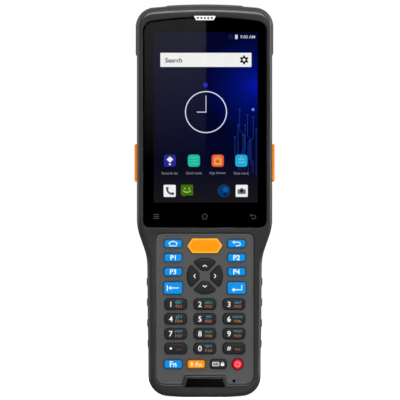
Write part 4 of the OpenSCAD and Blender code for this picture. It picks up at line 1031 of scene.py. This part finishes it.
def hexShape(w, h):
    x, u, v = w / 2, scanKey["topW"] / 2, h / 2
    return rounded([[x, 0], [u, v], [-u, v], [-x, 0], [-u, -v], [u, -v]], scanKey["corner"], 4)


def keyOutline(name, kind, x, y, w, h):
    if kind == "arrow":
        shape = arrowShape(arrowTurns[name])
    elif kind == "hex":
        shape = hexShape(w, h)
    elif kind == "round":
        shape = disc(0, 0, w / 2, 36)
    else:
        shape = box(0, 0, w, h, 1.9 if kind == "number" else 1.3, 7)
    return lambda d=0.0: shape(d) + [x, y]


outer, columns, number = (-16, 16), (-14.65, 0, 14.65), (11.2, 5.5)
arrowTurns = {"up": 0, "left": 90, "down": 180, "right": 270}
keyRows = [  # names, kind, the middles' places across, their place up the length, width and height
    ("home back", "bar", outer, 77.39, 9.3, 4.3), ("p1 p2", "bar", outer, 70.29, 9.3, 4.3),
    ("p3 p4", "bar", outer, 63.19, 9.3, 4.3), ("tab enter", "bar", outer, 54.99, 9.8, 6.5),
    ("scan", "hex", (0,), 76.29, 17.8, 7.4), ("up left down right", "arrow", (0,) * 4, 60.99, 18, 18),
    *((names, "number", columns, 46.79 - 7.43 * k, *number)
      for k, names in enumerate(["1 2 3", "4 5 6", "7 8 9"])),
    ("dot 0 hash", "number", columns, 24.5, *number), ("fn alpha", "bar", (-16, -4.35), 16.65, 9.3, 4.6),
    ("lock", "bar", (6.8,), 16.65, 8.3, 4.6), ("power", "round", (16.5,), 16.65, 5.8, 5.8)]
keys = [(name, kind, x, y, w, h) for names, kind, xs, y, w, h in keyRows
        for name, x in zip(names.split(), xs)]
outlines = {key[0]: keyOutline(*key) for key in keys}


def panelPlate():
    # The panel with a low raised rim: up the edge, over the rim and down to the flat between the keys.
    profile = [(0, panelSize["t"]), (0, 0.22), (0.07, 0.07), (0.22, 0), (0.95, 0), (1.05, 0.03), (1.2, 0.18),
               (1.3, 0.2)]
    return stacked([(d, panelSize["z"] - down) for d, down in profile], panelRing)


keyWells = [well(shape, 24, panelSize["z"] - 0.2, 0.2, play, 3) for shape in outlines.values()]
piece("key_panel", carved(panelPlate(), *keyWells, rod(mic["x"], mic["y"], 20, 30, mic["r"])), "panel",
      stands="keypad_panel")
piece("badge", plate(badgeShape, shell["faceZ"] - badgeSize["deep"], shell["faceZ"] - 0.1, 0, 0.12), "badge",
      stands="badge_plate")
print("keypad panel built")


def keyCap(shape, top):
    # Flange, straight wall, quarter round edge and a shallow dome, all from the key's outline function.
    k = keySize
    lip, rim = top - k["dome"], top - k["dome"] - k["edge"]
    rings = [(-k["flange"], k["z0"]), (-k["flange"], k["z1"]), (0, k["z1"] + 0.01),
             *((i, rim + up) for i, up in quarter(k["edge"], 5))]
    return loft([atHeight(shape(d), z) for d, z in rings] + domed(shape(k["edge"]), lip, k["dome"]))


def keyShadeRim(shape, top):
    # The outer part of a bar key's round edge, a little proud of the cap, in a darker colour: painted shade
    # on the edge.
    k, proud = keySize, keySize["rimProud"]
    rim = top - k["dome"] - k["edge"]
    edge = [(i - proud, rim + up + proud) for i, up in quarter(k["edge"], 6)]
    return carved(stacked([(-proud, rim - 0.3)] + edge, shape), column(shape(k["rimW"]), rim - 1, top + 1))


def scanHighlightRim(shape, top):
    # The scan key's rim, in a paler amber: a painted highlight along its edges. Its edge is tighter than the
    # cap's, so it stands a little proud.
    k = scanKey
    rim = plate(shape, top - k["rimLow"], top - k["rimHigh"], 0, k["rimEdge"])
    return carved(rim, column(shape(k["rimW"]), 25, 28))


def powerFace(x, y, top):
    # A bright red face on the darker red cap: the cap's darker red is painted shade round the key's edge.
    k = powerKey
    return plate(disc(x, y, k["faceR"]), top - k["deep"], top + k["proud"], 0, k["edge"])


def arrowTo(x, y, w=1.5, h=1.05):
    # An arrow head that points left from (x, y).
    return flat([(x, y + h), (x - w, y), (x, y - h)])


arrowMark = stroke([(-1.0, -0.35), (0, 0.45), (1.0, -0.35)], 0.42)
lockDots = [flat(box(-1.3 + dx, dy, 0.4, 0.3, 0.05, 1)) for dx in (-0.9, 0, 0.9) for dy in (-0.3, 0.35)]
signs = {
    "home": [stroke([(-2.4, 0.1), (0, 1.25), (2.4, 0.1)], 0.42),
             stroke([(-1.7, 0.3), (-1.7, -1.25), (1.7, -1.25), (1.7, 0.3)], 0.42)],
    "back": [stroke([(-1.3, 0.65), (1.0, 0.65), (1.7, 0.3), (1.9, -0.25), (1.6, -0.85), (0.9, -1.15),
                     (-0.4, -1.15)], 0.42), arrowTo(-1.0, 0.65, 1.2, 0.95)],
    "tab": [stroke([(-2.9, 1.5), (-2.9, -1.5)], 0.5), stroke([(-1.2, 0), (2.9, 0)], 0.5), arrowTo(-0.9, 0)],
    "enter": [stroke([(-1.4, -0.9), (2.6, -0.9), (2.6, 1.5)], 0.5), arrowTo(-1.1, -0.9)],
    "power": [hoop(0, -0.05, 1.15, 0.5, 120, 420, 30), stroke([(0, 0.15), (0, 1.5)], 0.45)],
    "lock": [frameOf(-1.3, 0, 3.4, 2.0, 0.3, 0.28), *lockDots, tile(2.1, -0.3, 1.7, 1.3, 0.2),
             hoop(2.1, 0.4, 0.55, 0.25, 0, 180, 12)],
    "fn": [word("Fn", 3.9, 0.02)],
    "alpha": [moved(word("Aa", 3.3, 0.015), 1.1, 0), flat([(-3.2, 0.1), (-1.2, 0.1), (-2.2, 1.3)]),
              tile(-2.2, -0.6, 0.9, 1.4, 0.1)],
    **{"p%d" % k: [word("P%d" % k, 3.5, 0.02)] for k in (1, 2, 3, 4)}}
letters = dict(zip("1234567890", "@/ abc def ghi jkl mno pqrs tuv wxyz spc".split()))
seconds = {"0": "F10", "dot": "---", "hash": "*/+"}
slots = {**dict.fromkeys("home back p1 p2 p3 p4 tab enter fn".split(), "key_blue"),
         "scan": "key_orange", "alpha": "key_orange", "power": "key_red"}
inks = {"key_blue": "cyan_ink", "key_orange": "cream_ink", "key_red": "pink_ink", "key_dark": "white_ink"}
legend = {"digitX": -2.5, "lettersY": 1.05, "secondY": -1.1, "aloneY": -0.5}


def legends(name, x):
    # A number key's prints as kind, ink and shape: its digit, its letters and its second meaning.
    if name == "dot":
        digit = dot(0, 0, 0.6)
    else:
        digit = word("#", 2.9, 0.01, 1.1) if name == "hash" else word(name, 3.9, 0.008)
    aside = 1.5 if x < -5 else 1.9
    more, second = letters.get(name), word(seconds.get(name, "F0" + name), 2.0, 0.01, 1.25)
    prints = [("sign_", "white_ink", moved(digit, legend["digitX"], 0))]
    if more:
        small = word(more, 2.1, 0.01, 1.0 if len(more) == 4 else 1.35)
        prints.append(("letters_", "teal_ink", moved(small, aside, legend["lettersY"])))
    return prints + [("second_", "brown_ink", moved(second, aside, legend["secondY" if more else "aloneY"]))]


for name, kind, x, y, *_ in keys:
    slot, body, top, shape = slots.get(name, "key_dark"), "key_" + name, keyTop[kind], outlines[name]
    piece("cap_" + name, keyCap(shape, top), slot, body, stands=body, sharp=40)
    if kind == "arrow":
        prints = [("sign_", "white_ink", turned(moved(arrowMark, 0, 5.1), arrowTurns[name]))]
    elif kind == "number":
        prints = legends(name, x)
    else:
        prints = [("sign_", inks[slot], joined(*signs[name]))] if name in signs else []
    for start, ink, sign in prints:
        piece(start + name, moved(sign, x, y, top + hair), ink, body)
    # The scan key gets a rim in a paler amber: a painted highlight on its edges.
    if kind == "hex":
        piece("edge_" + name, scanHighlightRim(shape, top), "amber_painted_highlight", body)
    # Bar keys get a rim in a darker colour: painted shade on their round edges.
    if kind == "bar" and slot != "key_dark":
        piece("edge_" + name, keyShadeRim(shape, top), slot.replace("key", "edge"), body)
    # The power key's cap is a darker red than this face: painted shade round its edge.
    if kind == "round":
        piece("face_" + name, powerFace(x, y, top), "key_glow", body)
print("keys built:", len(keys))

sink = cameraSize["sink"]
cameraGlass = plate(boxOf(cameraSize, steps=8), sink, sink + cameraSize["t"], 0.15, 0.05)
piece("camera_glass", cameraGlass, "window", stands="camera_window")

# The solids that stay get their slot's finish.
for part in frame["record"]["subparts"]:
    mesh = frame["nodes"][part["node"]].data
    mesh.materials.clear()
    mesh.materials.append(finish[part["material_slot"]])

view = {"distance": 5.0, "yaw": radians(1.1), "x": -0.0022, "z": 0.0993, "seen": 0.202, "sensor": 36}
cameraData = bpy.data.cameras.new("camera")
cameraData.sensor_width = view["sensor"]
cameraData.lens = view["sensor"] * view["distance"] / view["seen"]
cameraData.clip_start, cameraData.clip_end = 0.1, 60
camera = linked("camera", cameraData)
away, yaw = view["distance"], view["yaw"]
camera.location = (view["x"] - away * sin(yaw), -away * cos(yaw), view["z"])
camera.rotation_euler = (pi / 2, 0, -yaw)
bpy.context.scene.camera = camera


def stagePlane(name, corners, material):
    mesh = bpy.data.meshes.new(name)
    mesh.from_pydata(corners, [], [[0, 1, 2, 3]])
    mesh.materials.append(material)
    linked(name, mesh)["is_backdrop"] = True


def upright(x0, x1, y, z0, z1):
    return [(x0, y, z0), (x1, y, z0), (x1, y, z1), (x0, y, z1)]


floorLook = {"colour": "#e9e9e9", "topUp": 0.84, "bounce": 0.8}


def floorMaterial():
    # Pale floor that takes the object's shadow: topped up to white for the camera, black to reflections.
    material, add, link, shader = shaded("floor", floorLook["colour"], 0.9, **{"Specular IOR Level": 0.0})
    shader["Emission Color"].default_value = (1, 1, 1, 1)
    path = add("LightPath").outputs
    spread = maths(add, "MULTIPLY", path["Is Diffuse Ray"], floorLook["bounce"])
    either = maths(add, "MAXIMUM", path["Is Camera Ray"], spread)
    link(maths(add, "MULTIPLY", either, floorLook["topUp"]), shader["Emission Strength"])
    link(blend(add, path["Is Glossy Ray"], linear(floorLook["colour"]), (0, 0, 0, 1)), shader["Base Color"])
    return material


def cardMaterial(name, glow=None):
    # A card that only reflections meet, also those from within the glass: black, or lit by a gradient.
    material = bpy.data.materials.new(name)
    material.use_nodes = True
    tree = material.node_tree
    add = adder(tree)
    tree.nodes.remove(tree.nodes["Principled BSDF"])
    light = add("Emission", {"Color": (1, 1, 1, 1), "Strength": 0.0})
    if glow:
        height = add("SeparateXYZ", {0: add("TexCoord").outputs["Object"]}).outputs["Z"]
        tree.links.new(remap(add, height, *glow[:2], 0.0, glow[2]), light.inputs["Strength"])
    path = add("LightPath").outputs
    met = maths(add, "MAXIMUM", path["Is Glossy Ray"], path["Is Transmission Ray"])
    mixed = add("MixShader", {0: met, 1: add("BsdfTransparent").outputs[0], 2: light.outputs[0]})
    tree.links.new(mixed.outputs[0], tree.nodes["Material Output"].inputs["Surface"])
    return material


def mirroredSpot(x, z):
    # The point of the card that the camera sees in the glass at (x, z): its ray turned back at the glass.
    glassY = (shell["depth"] / 2 - glassSize["z1"]) / 1000
    cx, cy, cz = camera.location
    reach = (glassY - cards["veilY"]) / (glassY - cy)
    return x + (x - cx) * reach, z + (z - cz) * reach


cards = {"frontY": -12.0, "half": 22.0, "frontTop": 14.0, "veilY": -10.0, "veilGlow": 0.26, "floorHalf": 30,
         "veilCorner": (-0.034, 0.194), "veilEdge": (0.0006, 0.117)}
far = cards["floorHalf"]
stagePlane("floor", [(-far, -far, 0), (far, -far, 0), (far, far, 0), (-far, far, 0)], floorMaterial())
stagePlane("dark_card", upright(-cards["half"], cards["half"], cards["frontY"], 0.001, cards["frontTop"]),
           cardMaterial("darkCard"))
left, top = mirroredSpot(*cards["veilCorner"])
edge, low = mirroredSpot(*cards["veilEdge"])
stagePlane("veil_card", upright(left, edge, cards["veilY"], low, top),
           cardMaterial("veilCard", (low, top, cards["veilGlow"])))

world = bpy.data.worlds.new("studio")
bpy.context.scene.world = world
world.use_nodes = True
sky = {"seen": 1.0, "given": 0.24}  # strength for the camera and mirrors, and for lighting
addWorld = adder(world.node_tree)
path = addWorld("LightPath").outputs
seen = maths(addWorld, "MAXIMUM", path["Is Camera Ray"], path["Is Glossy Ray"])
seen = maths(addWorld, "MAXIMUM", seen, path["Is Transmission Ray"])
background = world.node_tree.nodes["Background"].inputs
world.node_tree.links.new(remap(addWorld, seen, 0.0, 1.0, sky["given"], sky["seen"]), background["Strength"])
background["Color"].default_value = (1, 1, 1, 1)

lamps = {  # place, size, power, whether it lights matt surfaces, and whether it is seen in gloss
    "front": ((0.2, -2.2, 0.5), (1.2, 1.2), 32, True, False),
    "brow": ((0.1, -1.02, 1.29), (1.4, 0.26), 50, False, True),
    "right": ((1.7, -0.3, 0.25), (0.4, 1.2), 36, False, True),
    "left": ((-1.7, 0.3, 0.25), (0.4, 1.2), 12, False, True),
    "back": ((0.3, 1.8, 1.0), (1.2, 1.2), 20, True, True),
}
aim = Vector((0, 0, 0.1))
for name, (place, size, power, mattShare, glossShare) in lamps.items():
    light = bpy.data.lights.new(name, "AREA")
    light.shape, light.energy = "RECTANGLE", power
    light.size, light.size_y = size
    made = linked(name, light)
    made.location = place
    made.visible_diffuse = mattShare
    made.visible_glossy = made.visible_transmission = glossShare
    made.rotation_euler = (aim - Vector(place)).to_track_quat("-Z", "Y").to_euler()

bpy.context.scene.view_settings.view_transform = "Standard"
low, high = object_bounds()
print("stage lit")
